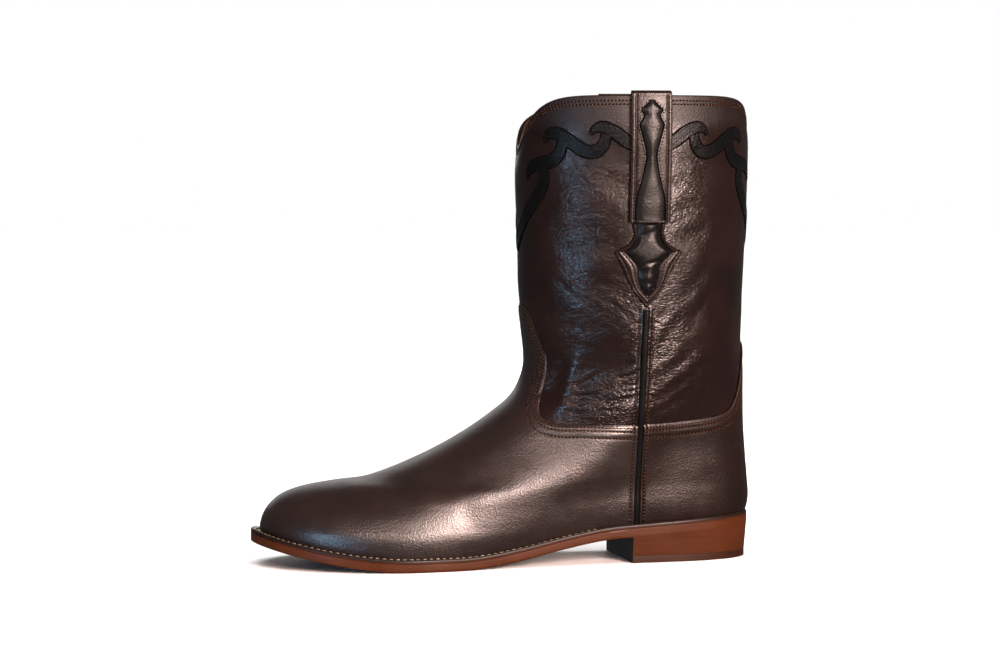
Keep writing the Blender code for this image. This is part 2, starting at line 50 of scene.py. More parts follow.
# Driving sizes, as the solids have them
HEEL_BACK = 155.0
GAP = 0.3
OVERLAY_GAP = 0.6
WALL = 2.0
OVERLAY = 1.2
OUTSOLE = 5.0
WELT = 2.4
SOLE_LENGTH = 307.0
TOE_SPRING = 14.6
SEAT_BACK = 20.6
SEAT_FRONT = 15.7
SEAT_LENGTH = 84.0
BALL_BACK = 188.0
BALL_FRONT = 216.0
CAP = 4.6
HEEL_TAPER = 1.5
BREAST_OUTER = 78.5
BREAST_INNER = 81.5
COLLAR = 281.8
STRAP_BASE = 283.1
FRONT_DIP = 37.0
FRONT_LEAN = 0.8
INNER_LEAN = 1.1
BACK_DIP = 25.0
DIP_ROUND = 0.10
COLLAR_CURL = 1.9
CURL_FROM = 0.972
SEAM_TOP = 70.8
SEAM_LEAN = 0.0265
SEAM_FOOT = 76.5
PIPE_HALF = 1.9
PIPE_HIGH = 2.3
STRAP_HALF = 11.9
STRAP_LOW = 207.0
STRAP_THICK = 1.8
STRAP_LIFT = 1.2
STRAP_RISE = 0.6
STRAP_FACE = STRAP_LIFT + STRAP_THICK
INLAY_THICK = 0.5
SCROLL_LOW = 0.1
SCROLL_HIGH = 0.5
SCROLL_CENTRE = 95.6

# Sizes of the looks alone
# Dark cut edge round the scroll, partly painted shade of its recess: width, foot and height
BORDER_WIDE = 0.9
BORDER_LOW = 0.05
BORDER_HIGH = 0.32
# Groove round the strap's figure, its faces painted near black as shade: width, and columns of the
# grid across it
PIN_GROOVE = 0.85
PIN_BORDER = 3
# Rows of stitches: distances from an overlay's edge, the collar, the seam, the strap's edge
# and the strap's figure, and shares of the spade's rim and of the welt
EDGE_ROWS = 1.7, 3.8, 8.0
EDGE_CORD = 5.9
COLLAR_ROWS = 2.4, 4.6
SEAM_ROW = 4.3
STRAP_ROW = 1.7
PIN_ROW = 0.95
SPADE_ROWS = 0.27, 0.73
WELT_ROW = 0.55
# Points of the welt's line left unsewn from the heel's back, on either side
WELT_FIRST = 78
# Where the seam's rows begin, and where they step up over the overlays' edge
SEAM_ROW_LOW = 26.0
SEAM_ROW_STEP = 83.9
# How much thinner the vamp lies over the toe and at its tongue, and how thin at the least
THINNED = 0.85
LEAST_RISE = 0.4
# Where the vamp flexes over the ball: distance forward and height
FLEX_PLACE = 182.0
FLEX_HIGH = 34.0
# How far from the toe the welt's edge is dressed dark, and where the heel's lifts join
TOE_SHADE = 62.0
LIFT_JOINTS = 0.33, 0.66
# Share of the wrinkles on the leg's smooth leather, and depths of its creases and seam folds
SMOOTH_SHARE = 0.34
CREASE_DEEPER = 1.15
SEAM_FOLD_STEP = 3.7
SEAM_FOLD_DEEP = 0.17
SEAM_FOLD_TOP = 158.0
SEAM_FOLD_FOOT = 80.0


def table(row, *values):
    """Rows of a table, with its columns named."""
    return tuple(row(*each) for each in values)


# Rings of the last, from the feather edge to the collar. toe and heel give where a ring
# crosses the middle line, x forward from the back of the heel. sole is the ring's share
# of the sole's own curve, swing its share of the foot's sideways curve. The last five
# columns are half widths at the heel's back, heel, waist, ball and toe.
Ring = namedtuple("Ring", "toe_x toe_z heel_x heel_z sole swing back heel waist ball toe")
RINGS = table(
    Ring,
    (298.6, 17.6, 4.2, 25.8, 1.00, 1.00, 47, 33.0, 33.0, 54.0, 64.0),
    (299.8, 23.0, 2.2, 31.0, 0.97, 1.00, 50, 34.5, 34.8, 55.0, 65.0),
    (298.4, 30.0, 1.2, 35.5, 0.90, 1.00, 51, 35.5, 36.2, 55.0, 64.0),
    (294.6, 36.3, 1.0, 40.0, 0.80, 1.00, 51, 36.0, 36.8, 53.0, 61.0),
    (287.6, 41.8, 1.3, 44.0, 0.68, 1.00, 51, 36.0, 37.0, 50.5, 56.0),
    (276.0, 46.1, 1.7, 48.5, 0.54, 1.00, 50, 36.0, 37.0, 48.0, 49.0),
    (258.0, 49.1, 2.1, 53.5, 0.40, 1.00, 49, 36.0, 36.8, 45.8, 47.0),
    (238.0, 51.2, 2.7, 59.5, 0.28, 1.00, 48, 36.0, 36.6, 43.8, 49.0),
    (219.0, 57.3, 3.3, 66.5, 0.18, 1.00, 46, 36.0, 36.4, 41.2, 49.5),
    (199.5, 65.6, 3.9, 74.5, 0.10, 0.95, 44, 36.0, 36.4, 39.0, 47.0),
    (180.0, 75.7, 4.4, 83.0, 0.04, 0.90, 43, 36.5, 36.8, 38.2, 44.0),
    (162.5, 86.8, 4.7, 92.0, 0.00, 0.80, 42, 37.5, 37.8, 38.8, 42.5),
    (148.8, 97.8, 4.9, 101.5, 0.0, 0.65, 42, 39.0, 39.5, 40.5, 43.0),
    (141.6, 110.0, 5.0, 112.5, 0.0, 0.45, 43, 41.5, 42.0, 42.3, 43.0),
    (139.0, 124.0, 5.0, 125.0, 0.0, 0.25, 45, 44.0, 44.3, 44.5, 44.0),
    (140.8, 143.0, 4.8, 143.5, 0.0, 0.10, 48, 46.5, 46.6, 46.5, 46.0),
    (143.4, 172.0, 3.6, 172.5, 0.0, 0.00, 50, 48.5, 48.5, 48.5, 48.0),
    (144.3, 212.0, 1.8, 213.0, 0.0, 0.00, 51, 49.5, 49.2, 49.5, 50.0),
    (145.6, 250.0, 0.2, 261.0, 0.0, 0.00, 51, 49.5, 49.2, 49.5, 50.0),
)
LEVELS = np.linspace(0.0, 1.0, len(RINGS))
RING_TABLE = np.array(RINGS, dtype=float)
STATIONS = (0.0, 0.25, 0.5, 0.75, 1.0)
SWING = (0.0, -0.5, -4.5, 0.5, 3.5)

# Width of welt that shows round the upper, by degrees from the heel's back
WeltWidth = namedtuple("WeltWidth", "degrees width")
WELT_WIDTHS = table(
    WeltWidth, (0, 1.9), (40, 2.4), (70, 3.0), (100, 4.0), (125, 6.0), (150, 6.4), (180, 6.2)
)

# Upper edges of the two overlays, by degrees from the heel's back
Edge = namedtuple("Edge", "degrees z")
VAMP_EDGE = table(
    Edge, (80, 84.4), (108, 85.2), (120, 85.6), (127, 87.2), (133, 90.0), (139, 94.0),
    (144, 99.5), (148, 110.0), (149.8, 124.0), (152.6, 129.5), (155.4, 135.0), (161, 147.5),
    (170, 155.0), (180, 157.0),
)
COUNTER_EDGE = table(
    Edge, (0, 133.0), (6, 130.5), (12, 120.5), (20, 106.0), (26, 97.7), (31, 92.8), (40, 89.0),
    (53, 87.0), (66, 85.8), (92, 84.6),
)
VAMP_COLUMNS = (
    80, 81, 82, 83, 84, 86, 89, 92, 99, 106, 113, 119, 125, 131, 137, 142,
    146, 148.5, 150.5, 154, 158, 163, 169, 174.5, 180,
)
COUNTER_COLUMNS = 0, 4, 8, 13, 19, 26, 34, 44, 56, 69, 77, 83, 86, 88, 89, 90, 91, 92

# Flat figures on the leg: half width at a height, and folds across the spade's middle
Figure = namedtuple("Figure", "z rim middle")
SPADE = table(
    Figure, (208.4, 10.8, 7.3), (197.5, 9.8, 7.6), (193.5, 13.0, 9.6), (189.3, 20.8, 14.6),
    (181.0, 16.2, 7.0), (172.5, 12.0, 5.8), (166.5, 8.8, 3.4), (163.4, 6.6, 0.3),
)
SPADE_TIP = 155.7
Fold = namedtuple("Fold", "z wide deep")
SPADE_FOLDS = table(
    Fold, (199.0, 2.6, 0.60), (183.0, 2.0, 0.55), (176.8, 1.7, 0.50), (170.8, 1.5, 0.40)
)
Pin = namedtuple("Pin", "z half")
STRAP_PIN = table(
    Pin, (208.0, 9.0), (214.5, 9.1), (222.0, 8.4), (236.0, 5.0), (248.0, 3.5), (257.0, 5.6),
    (264.7, 7.7), (270.4, 4.9), (273.7, 6.9), (279.8, 0.3),
)

# Running wave: four tapering strokes for a quarter of the leg, out from the side seam
Stroke = namedtuple("Stroke", "out z half")
WAVE = (
    table(
        Stroke, (3.0, 250.5, 3.3), (14.0, 255.0, 3.5), (22.0, 260.6, 3.4), (29.0, 263.6, 3.0),
        (33.6, 262.4, 1.9), (36.4, 259.2, 0.3),
    ),
    table(
        Stroke, (27.0, 259.0, 2.6), (28.6, 253.2, 3.1), (33.0, 249.0, 3.4), (40.0, 249.6, 3.4),
        (48.5, 254.8, 3.4), (56.5, 259.6, 3.2), (62.5, 259.6, 2.4), (66.3, 255.0, 0.3),
    ),
    table(
        Stroke, (53.6, 256.4, 2.4), (54.8, 249.6, 3.1), (59.6, 244.0, 3.4), (67.5, 241.8, 3.4),
        (75.0, 240.4, 2.8), (79.6, 237.0, 1.8), (81.6, 232.4, 0.3),
    ),
    table(
        Stroke, (66.8, 240.0, 2.4), (66.0, 232.5, 3.1), (68.6, 225.5, 3.4), (75.0, 217.6, 3.4),
        (83.0, 208.5, 3.3), (90.0, 199.6, 3.2), (96.4, 190.6, 2.6),
    ),
)

# Creases of the leg's sides: place round from the seam and height of the middle, half
# length, lean from level, half width and depth. Forward of the seam is positive, and a
# depth below zero is a ridge.
Crease = namedtuple("Crease", "out z reach lean wide deep")
LEG_CREASES = table(
    Crease,
    (32, 156, 26, 36, 1.4, 0.22), (27, 151, 24, 38, 1.2, 0.18), (37, 161, 24, 33, 1.3, 0.18),
    (42, 167, 20, 30, 1.2, 0.15), (21, 158, 18, 40, 1.6, 0.20), (46, 147, 11, -71, 0.9, 0.24),
    (43, 146, 10, -71, 0.8, 0.20), (24, 170, 18, 30, 2.2, 0.20), (45, 108, 26, -70, 5.0, -1.00),
    (38, 132, 22, -60, 6.0, 0.25), (22, 106, 16, -12, 1.5, 0.38), (36, 97, 12, 16, 1.4, 0.32),
    (16, 99, 13, -8, 1.4, 0.36), (13, 113, 13, -20, 1.4, 0.32), (33, 112, 12, -24, 1.4, 0.30),
    (30, 101, 22, 10, 2.2, 0.44), (26, 93, 24, 4, 1.6, 0.34), (28, 93, 30, 4, 14.0, -1.70),
    (38, 222, 26, 14, 15.0, -0.85), (48, 216, 18, 12, 2.6, 0.22), (44, 203, 20, 6, 2.4, 0.22),
    (50, 229, 16, 16, 2.4, 0.20), (46, 190, 22, -4, 3.2, 0.30), (28, 236, 14, 24, 2.6, 0.18),
    (36, 182, 22, 8, 7.5, -0.50), (42, 140, 24, 14, 11.0, 0.50), (-16, 141, 17, -42, 3.2, 0.42),
    (-26, 124, 22, -36, 3.8, 0.42), (-22, 108, 20, -28, 3.0, 0.38), (-18, 96, 18, -18, 2.4, 0.30),
    (-34, 152, 20, -46, 4.4, 0.40), (-22, 214, 16, -12, 4.0, 0.34), (-26, 198, 18, -18, 4.2, 0.36),
    (-18, 230, 12, -8, 3.4, 0.28), (-40, 180, 24, -50, 5.0, 0.34),
)
# Places where the leg's leather is wrinkled, as soft ovals: middle, half sizes and share
Wrinkled = namedtuple("Wrinkled", "out z wide high share")
WRINKLED = table(
    Wrinkled, (44, 218, 20, 34, 1.15), (30, 156, 30, 18, 0.90), (0, 122, 26, 40, 0.85),
    (24, 100, 26, 20, 1.35), (-28, 216, 20, 32, 0.75), (-26, 132, 26, 46, 0.80),
)
# Soft lumps of the leg: depth, size, how much flatter they lie, and if only where wrinkled
Lump = namedtuple("Lump", "deep size flatter wrinkled")
LEG_LUMPS = table(
    Lump, (0.50, 23.0, 1.25, False), (0.26, 9.0, 1.5, True), (0.10, 4.2, 1.8, True)
)
# Worn or dull places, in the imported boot's own sizes: middle, half sizes, colour, roughness
Mark = namedtuple("Mark", "middle half colour duller")
VAMP_SCAR = Mark((38.4, -41.6, 58.0), (4.4, 24.0, 4.9), (0.046, 0.032, 0.028), -0.22)
COUNTER_SCRATCH = Mark((89.9, -38.0, 49.7), (4.2, 30.0, 0.8), (0.0015, 0.0009, 0.0008), 0.6)
COLLAR_BAND = Mark((0.0, 0.0, 286.0), (900.0, 900.0, 27.0), (0.0062, 0.0027, 0.0020), 0.36)
MARK_CORE = 0.65
MARK_SHARE = 0.7

# Edge of the outsole: share of the way to the middle line, inset and height
SOLE_PROFILE = (
    (1.0, 0.0, 0.0), (0.75, 0.0, 0.0), (0.5, 0.0, 0.0), (0.25, 0.0, 0.0), (0.06, 0.0, 0.0),
    (0.0, 1.0, 0.0), (0.0, 0.45, 0.18), (0.0, 0.12, 0.55), (0.0, 0.0, 1.2), (0.0, 0.0, 2.2),
    (0.0, 0.0, 3.2), (0.0, 0.0, 4.2), (0.0, 0.05, OUTSOLE - 0.12), (0.0, 0.16, OUTSOLE),
    (0.06, 0.0, OUTSOLE), (0.5, 0.0, OUTSOLE), (1.0, 0.0, OUTSOLE),
)
# Top of the welt: share of the way in to the upper, and height
WELT_TOP = (0.0, 0.0), (0.2, 0.1), (0.4, -0.1), (0.55, -0.45), (0.7, -0.1), (0.85, 0.1)
# Edge of the heel's cap: inset and height
CAP_PROFILE = (
    (0.7, 0.0), (0.25, 0.12), (0.05, 0.4), (0, 1.0), (0, 3.4), (0.05, CAP - 0.3), (0.3, CAP)
)

# Lamps of the studio, in metres and watts, the camera's place, the floor and the wall
Lamp = namedtuple("Lamp", "name spot wide high power colour")
LAMPS = table(
    Lamp,
    ("warm_side", (0.74, -1.83, 0.06), 0.30, 0.50, 5.5, (1.0, 0.68, 0.57)),
    ("warm_edge", (1.33, -1.48, 0.26), 0.26, 0.26, 2.0, (1.0, 0.68, 0.57)),
    ("warm_front", (0.70, -1.65, 0.74), 0.66, 0.66, 72.0, (1.0, 0.74, 0.66)),
    ("warm_top", (-0.40, -1.68, 0.90), 0.30, 0.28, 7.5, (1.0, 0.72, 0.62)),
    ("warm_high", (0.40, -1.77, 0.36), 0.18, 0.18, 4.0, (1.0, 0.72, 0.62)),
    ("cool_window", (-1.28, -1.41, 0.19), 0.26, 0.18, 7.5, (0.38, 0.69, 1.0)),
    ("inner_side", (0.50, 1.85, 0.18), 0.26, 0.30, 10.0, (1.0, 0.82, 0.72)),
    ("back_screen", (0.2, 2.4, 0.95), 3.0, 1.5, 10.0, (1.0, 0.97, 0.94)),
)
LAMP_AIM = Vector((0.0, 0.0, 0.14))
SKY_LIGHT = 0.09
SUN_LIGHT = 4.2
SUN_ANGLE = 70.0
VIEW_AIM = Vector((-0.0016, 0.0, 0.139))
VIEW_AWAY = 1.829
VIEW_SWING = -10.0
VIEW_RISE = 3.3
LENS = 108.0
SENSOR = 36.0
FLOOR_RADIUS = 9.0
WALL_RADIUS = 8.9
WALL_HIGH = 14.0
WALL_MIDDLE = 6.5


# Curves through tables
def through(knots, values, at):
    """Smooth curve through the values at the knots."""
    knots = np.asarray(knots, float)
    values = np.asarray(values, float)
    at = np.asarray(at, float)
    slopes = np.gradient(values, knots, axis=0)
    i = np.clip(np.searchsorted(knots, at, side="right") - 1, 0, len(knots) - 2)
    span = knots[i + 1] - knots[i]
    s = (at - knots[i]) / span
    if values.ndim > 1:
        span = span[..., None]
        s = s[..., None]
    ease = s * s * (3 - 2 * s)
    bow = span * s * (1 - s) * (slopes[i] * (1 - s) - slopes[i + 1] * s)
    return values[i] * (1 - ease) + values[i + 1] * ease + bow


def hump(away, wide):
    """Soft rise to 1 at no distance, of a half width."""
    return np.exp(-((away / wide) ** 2))


def ramp_up(value, start, reach):
    """Share from 0 at a start to 1 beyond a reach."""
    return np.clip((value - start) / reach, 0, 1)


# The sole's underside and the collar's edge
def sole_under(forward):
    """Height of the outsole's underside at a distance forward of the heel's back."""
    forward = np.asarray(forward, float)
    slope = (SEAT_BACK - SEAT_FRONT) / SEAT_LENGTH
    seat = SEAT_BACK - slope * forward
    reach = BALL_BACK - SEAT_LENGTH
    s = np.clip((BALL_BACK - forward) / reach, 0, 1)
    arch = SEAT_FRONT * s * s * (3 - 2 * s) - slope * reach * s * s * (1 - s)
    k = np.clip((forward - BALL_FRONT) / (SOLE_LENGTH - BALL_FRONT), 0, None)
    toe = TOE_SPRING * k ** 1.75
    return np.where(forward < SEAT_LENGTH, seat, np.where(forward < BALL_BACK, arch, toe))


def collar_height(turn):
    """Height of the collar's edge, dipping in front and behind."""
    angle = 2 * math.pi * turn
    across = np.sin(angle)
    side = np.clip(1 - np.sqrt(across ** 2 + DIP_ROUND ** 2), 0, None)
    lean = np.where(across > 0, FRONT_LEAN, INNER_LEAN)
    front = FRONT_DIP * side ** (2.0 + lean * across)
    return COLLAR - np.where(np.cos(angle) < 0, front, BACK_DIP * side ** 3.2)


# The last
def last_point(turn, level):
    """Point of the upper's outside. turn: 0 back, 0.25 outer side, 0.5 toe."""
    turn, level = np.broadcast_arrays(np.asarray(turn, float), np.asarray(level, float))
    angle = 2 * math.pi * turn
    along = (1 - np.cos(angle)) / 2
    ring = through(LEVELS, RING_TABLE, level)
    toe_x, toe_z, heel_x, heel_z, sole, swing = np.moveaxis(ring[..., :6], -1, 0)
    foot, top = RINGS[0], RINGS[-1]
    curl = COLLAR_CURL * ramp_up(level, CURL_FROM, 1 - CURL_FROM) ** 1.5
    forward = heel_x + curl + (toe_x - heel_x - 2 * curl) * along
    z = heel_z + (toe_z - heel_z) * along
    feather = sole_under(foot.heel_x + (foot.toe_x - foot.heel_x) * along) + OUTSOLE + GAP
    z = z + sole * (feather - foot.heel_z - (foot.toe_z - foot.heel_z) * along)
    rise = ramp_up(level, LEVELS[-3], 1 - LEVELS[-3]) ** 1.5
    z = z + rise * (collar_height(turn) - top.heel_z - (top.toe_z - top.heel_z) * along)
    half = np.sum(through(STATIONS, np.eye(5), along) * ring[..., 6:], axis=-1)
    y = swing * through(STATIONS, SWING, along) - np.sin(angle) * (half - curl)
    return np.stack([HEEL_BACK - forward, y, z], axis=-1)


def unit(arrows):
    """Arrows drawn out or in to a length of one."""
    return arrows / np.linalg.norm(arrows, axis=-1, keepdims=True)


def small_steps(turn, level):
    """Small steps of the last's outside, round a ring and up it, and the change of level."""
    around = last_point(turn + TINY, level) - last_point(turn - TINY, level)
    low, high = np.clip(level - TINY, 0, 1), np.clip(level + TINY, 0, 1)
    return around, last_point(turn, high) - last_point(turn, low), high - low


def outward(turn, level):
    """Unit normal of the upper's outside."""
    around, up, _ = small_steps(turn, level)
    return unit(np.cross(up, around))


def skin(turn, level, height):
    """Point at a height off the upper's outside; along the sole at the feather edge."""
    turn, level, height = np.broadcast_arrays(turn, level, height)
    level = np.asarray(level, float)
    normal = outward(turn, level)
    ease = np.clip(level / 0.05, 0, 1)
    normal[..., 2] *= ease
    base = last_point(turn, level)
    points = base + np.asarray(height, float)[..., None] * unit(normal)
    follow = sole_under(HEEL_BACK - points[..., 0]) - sole_under(HEEL_BACK - base[..., 0])
    points[..., 2] += (1 - ease) * follow
    return points


def seam_turn(level, side):
    """Turn of the side seam: side 1 outer, -1 inner."""
    ring = through(LEVELS, RING_TABLE, level)
    toe_x, toe_z, heel_x, heel_z = np.moveaxis(ring[..., :4], -1, 0)
    drop = np.maximum(COLLAR - (toe_z + heel_z) / 2, 0)
    forward = np.minimum(SEAM_TOP + SEAM_LEAN * drop, SEAM_FOOT)
    angle = np.arccos(1 - 2 * (forward - heel_x) / (toe_x - heel_x))
    turn = angle / (2 * math.pi)
    return turn if side > 0 else 1 - turn


# Chart of the last: length round each ring and height, by level and turn
CHART_LEVELS = np.linspace(0, 1, 241)
CHART_TURNS = np.linspace(-0.15, 1.15, 781)
chart_points = last_point(CHART_TURNS[None, :], CHART_LEVELS[:, None])
chart_steps = np.linalg.norm(np.diff(chart_points, axis=1), axis=2)
CHART_ROUND = np.insert(np.cumsum(chart_steps, axis=1), 0, 0, axis=1)
CHART_HEIGHT = chart_points[..., 2]


def charted(chart, turn, level):
    """The chart's value at a turn and level, with its slope along the turn."""
    t = (turn - CHART_TURNS[0]) / (CHART_TURNS[1] - CHART_TURNS[0])
    k = level / (CHART_LEVELS[1] - CHART_LEVELS[0])
    j = np.clip(t.astype(int), 0, len(CHART_TURNS) - 2)
    i = np.clip(k.astype(int), 0, len(CHART_LEVELS) - 2)
    t, k = t - j, k - i
    a, b = chart[i, j], chart[i, j + 1]
    c, d = chart[i + 1, j], chart[i + 1, j + 1]
    value = (a * (1 - t) + b * t) * (1 - k) + (c * (1 - t) + d * t) * k
    slope = ((b - a) * (1 - k) + (d - c) * k) / (CHART_TURNS[1] - CHART_TURNS[0])
    return value, slope


def level_at(turn, z):
    """Level where the upper's outside reaches a height."""
    turn, z = np.broadcast_arrays(np.asarray(turn, float), np.asarray(z, float))
    low, high = np.zeros(turn.shape), np.ones(turn.shape)
    for _ in range(24):
        middle = (low + high) / 2
        under = charted(CHART_HEIGHT, turn, middle)[0] < z
        low, high = np.where(under, middle, low), np.where(under, high, middle)
    return (low + high) / 2


def turn_from_seam(level, out, side):
    """Turn that lies a length round the ring from the seam, forward positive."""
    level, out = np.broadcast_arrays(np.asarray(level, float), np.asarray(out, float))
    turn = seam_turn(level, side)
    goal = charted(CHART_ROUND, turn, level)[0] + side * out
    for _ in range(8):
        value, slope = charted(CHART_ROUND, turn, level)
        turn = np.clip(turn + (goal - value) / slope, -0.14, 1.14)
    return turn


def out_from_seam(turn, level, side):
    """Length round the ring from a side's seam, forward positive."""
    start = charted(CHART_ROUND, seam_turn(level, side), level)[0]
    return side * (charted(CHART_ROUND, turn, level)[0] - start)


def out_from_own_seam(turn, level):
    """Length round from the seam of each place's own side, and that side."""
    outer = turn < 0.5
    out = np.where(outer, out_from_seam(turn, level, 1), out_from_seam(turn, level, -1))
    return out, np.where(outer, 1, -1)


def leg_spot(out, z, side):
    """Turn and level of a place on the leg: out round from the seam, at a height."""
    out, z = np.broadcast_arrays(np.asarray(out, float), np.asarray(z, float))
    level = level_at(np.full(z.shape, seam_turn(0.9, side)), z)
    for _ in range(4):
        turn = turn_from_seam(level, out, side)
        level = level_at(turn, z)
    return turn, level


def wrapped(out, z, height, side):
    """Points on the leg: out round from the seam, at a height z, off the leather."""
    out, z, height = np.broadcast_arrays(out, np.asarray(z, float), height)
    turn, level = leg_spot(out, z, side)
    seat = np.where(height > 0, leg_relief(turn, level), 0)
    points = skin(turn, level, height + seat)
    points[..., 2] += np.maximum(z - collar_height(turn), 0)
    return points


def nearest_spot(target, turn, level):
    """Turn and level of the place on the last nearest to each target point."""
    for _ in range(6):
        around, up, change = small_steps(turn, level)
        by_turn, by_level = around / (2 * TINY), up / change[..., None]
        miss = target - last_point(turn, level)
        tt = np.sum(by_turn * by_turn, axis=-1)
        tl = np.sum(by_turn * by_level, axis=-1)
        ll = np.sum(by_level * by_level, axis=-1)
        mt = np.sum(miss * by_turn, axis=-1)
        ml = np.sum(miss * by_level, axis=-1)
        area = tt * ll - tl * tl
        turn = turn + (mt * ll - ml * tl) / area
        level = np.clip(level + (ml * tt - mt * tl) / area, 0.001, 1)
    return turn, level


# Outline of the sole
def sole_edge(turn):
    """Outline of the outsole: the lasted upper and the width of welt round it."""
    degrees = 180 - np.abs(180 - np.asarray(turn, float) * 360)
    widths = np.array(WELT_WIDTHS, float)
    margin = through(widths[:, 0], widths[:, 1], degrees)
    return skin(turn, 0.0, OVERLAY_GAP + OVERLAY + GAP + margin)


def sole_ring(turns, inset, rise):
    """Loop of the sole's edge, drawn in by inset and lifted off the underside."""
    edge = sole_edge(turns)
    loop = edge - np.asarray(inset, float)[..., None] * unit(edge - skin(turns, 0.0, 0.0))
    loop[..., 2] = sole_under(HEEL_BACK - edge[..., 0]) + rise
    return loop


def breast_turn(side):
    """Turn where the sole's edge passes the heel's breast."""
    goal = HEEL_BACK - (BREAST_OUTER if side > 0 else BREAST_INNER)
    low, high = 0.02, 0.25
    for _ in range(30):
        middle = (low + high) / 2
        spot = sole_edge(np.array(middle if side > 0 else 1 - middle))
        low, high = (middle, high) if spot[0] > goal else (low, middle)
    return low


def frame_shift():
    """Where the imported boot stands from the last's own zero, read at the outsole's toe."""
    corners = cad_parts["outsole"].data.vertices
    toe = min((corner.co for corner in corners), key=lambda spot: spot.x)
    own = sole_ring(np.array([0.5]), 0.0, OUTSOLE)[0] * MM
    return np.array([toe.x - own[0], toe.y - own[1], 0.0])


SHIFT = frame_shift()

# Lumps for soft leather: smooth noise on a lattice
LUMP_TABLE = np.random.default_rng(7).uniform(-1, 1, 4096)


def lumps(points, size):
    """Smooth uneven heights from -1 to 1, with lumps of a size."""
    spots = np.asarray(points, float) / size
    cell = np.floor(spots).astype(np.int64)
    part = spots - cell
    ease = part * part * (3 - 2 * part)
    total = 0.0
    for corner in np.ndindex(2, 2, 2):
        at = cell + np.array(corner)
        key = (at[..., 0] * 73856093) ^ (at[..., 1] * 19349663) ^ (at[..., 2] * 83492791)
        share = np.where(np.array(corner) == 1, ease, 1 - ease).prod(axis=-1)
        total = total + share * LUMP_TABLE[key & 4095]
    return total


# Work on the bench
def clear_bench():
    """Leave nothing selected and no piece in edit mode."""
    if bpy.context.object and bpy.context.object.mode != "OBJECT":
        bpy.ops.object.mode_set(mode="OBJECT")
    bpy.ops.object.select_all(action="DESELECT")


def take(piece):
    """Select one piece and make it the active one."""
    clear_bench()
    piece.select_set(True)
    bpy.context.view_layer.objects.active = piece


def work_on(piece, *steps):
    """Take steps in edit mode, each on the whole of a piece."""
    take(piece)
    bpy.ops.object.mode_set(mode="EDIT")
    for step in steps:
        bpy.ops.mesh.select_all(action="SELECT")
        step()
    bpy.ops.object.mode_set(mode="OBJECT")


def merge():
    """Merge the points that meet."""
    bpy.ops.mesh.remove_doubles(threshold=0.00001)


def turn_out():
    """Turn the faces outward."""
    bpy.ops.mesh.normals_make_consistent(inside=False)


def fill_ends():
    """Close the open ends."""
    bpy.ops.mesh.fill_holes(sides=0)


def read_points(piece, what="co"):
    """Places or normals of a piece's points."""
    spots = np.empty(len(piece.data.vertices) * 3)
    piece.data.vertices.foreach_get(what, spots)
    return spots.reshape(-1, 3)


def cut_grid(name, columns, rows):
    """A flat grid of leather, with its shares across in a row of points."""
    clear_bench()
    bpy.ops.mesh.primitive_grid_add(x_subdivisions=columns, y_subdivisions=rows, size=2)
    piece = bpy.context.object
    piece.name = name
    piece.data.name = name
    return piece, (read_points(piece)[:columns + 1, 0] + 1) / 2


def put_points(piece, places):
    """Put a piece's points in their places, in metres."""
    piece.data.vertices.foreach_set("co", places.ravel())
    piece.data.update()


def lay(piece, points):
    """Put a piece's points where they lie on the boot, from millimetres."""
    put_points(piece, np.asarray(points, float).reshape(-1, 3) * MM + SHIFT)


def dress(piece, *finishes):
    """Give a piece its finishes."""
    for finish in finishes:
        piece.data.materials.append(finish)


def keep_finish(piece, index):
    """Choose the finish of each face of a piece."""
    piece.data.polygons.foreach_set("material_index", np.asarray(index, np.int32))


def keep_share(piece, name, share):
    """Keep a share for each point of a piece, for its finish to read."""
    layer = piece.data.attributes.new(name, "FLOAT", "POINT")
    layer.data.foreach_set("value", np.ascontiguousarray(share, np.float32).ravel())


def thicken(piece, thickness, offset=-1.0):
    """Give a sheet its thickness, with the cut edge in the second finish."""
    take(piece)
    wall = piece.modifiers.new("thickness", "SOLIDIFY")
    wall.thickness = thickness * MM
    wall.offset = offset
    wall.use_rim = True
    wall.material_offset_rim = 1
    bpy.ops.object.modifier_apply(modifier=wall.name)


def lay_sheet(piece, points, turn, level, thickness):
    """Lay a sheet with its face away from the last, and thicken it inward."""
    lay(piece, points)
    lean = np.sum(read_points(piece, "normal") * outward(turn, level).reshape(-1, 3))
    if lean < 0:
        work_on(piece, bpy.ops.mesh.flip_normals)
    thicken(piece, thickness)


def finish_piece(piece, slot, *nodes, angle=40):
    """Shade a piece smooth, and seat it on the boot in place of its solids."""
    take(piece)
    bpy.ops.object.shade_smooth_by_angle(angle=math.radians(angle))
    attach(piece, "root")
    if nodes:
        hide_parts(*nodes)
    clear_bench()
    return piece


# Finishes
def new_finish(name, colour, rough, gloss=0.5):
    """A plain finish, with its tree and shader."""
    finish = bpy.data.materials.new(name)
    finish.use_nodes = True
    tree = finish.node_tree
    shader = tree.nodes["Principled BSDF"]
    shader.inputs["Base Color"].default_value = (*colour, 1.0)
    shader.inputs["Roughness"].default_value = rough
    shader.inputs["Specular IOR Level"].default_value = gloss
    return finish, tree, shader


def add_node(tree, kind, settings=(), **sockets):
    """A node with its settings, and numbers or links put in its sockets."""
    made = tree.nodes.new(kind)
    for name, value in dict(settings).items():
        setattr(made, name, value)
    for name, value in sockets.items():
        socket = made.inputs[name.replace("_", " ")]
        if isinstance(value, bpy.types.NodeSocket):
            tree.links.new(value, socket)
        else:
            socket.default_value = value
    return made


def object_place(tree, stretch=(1, 1, 1)):
    """Object coordinates, stretched along the axes."""
    coords = add_node(tree, "ShaderNodeTexCoord")
    place = add_node(tree, "ShaderNodeMapping", Vector=coords.outputs["Object"], Scale=stretch)
    return place.outputs["Vector"]


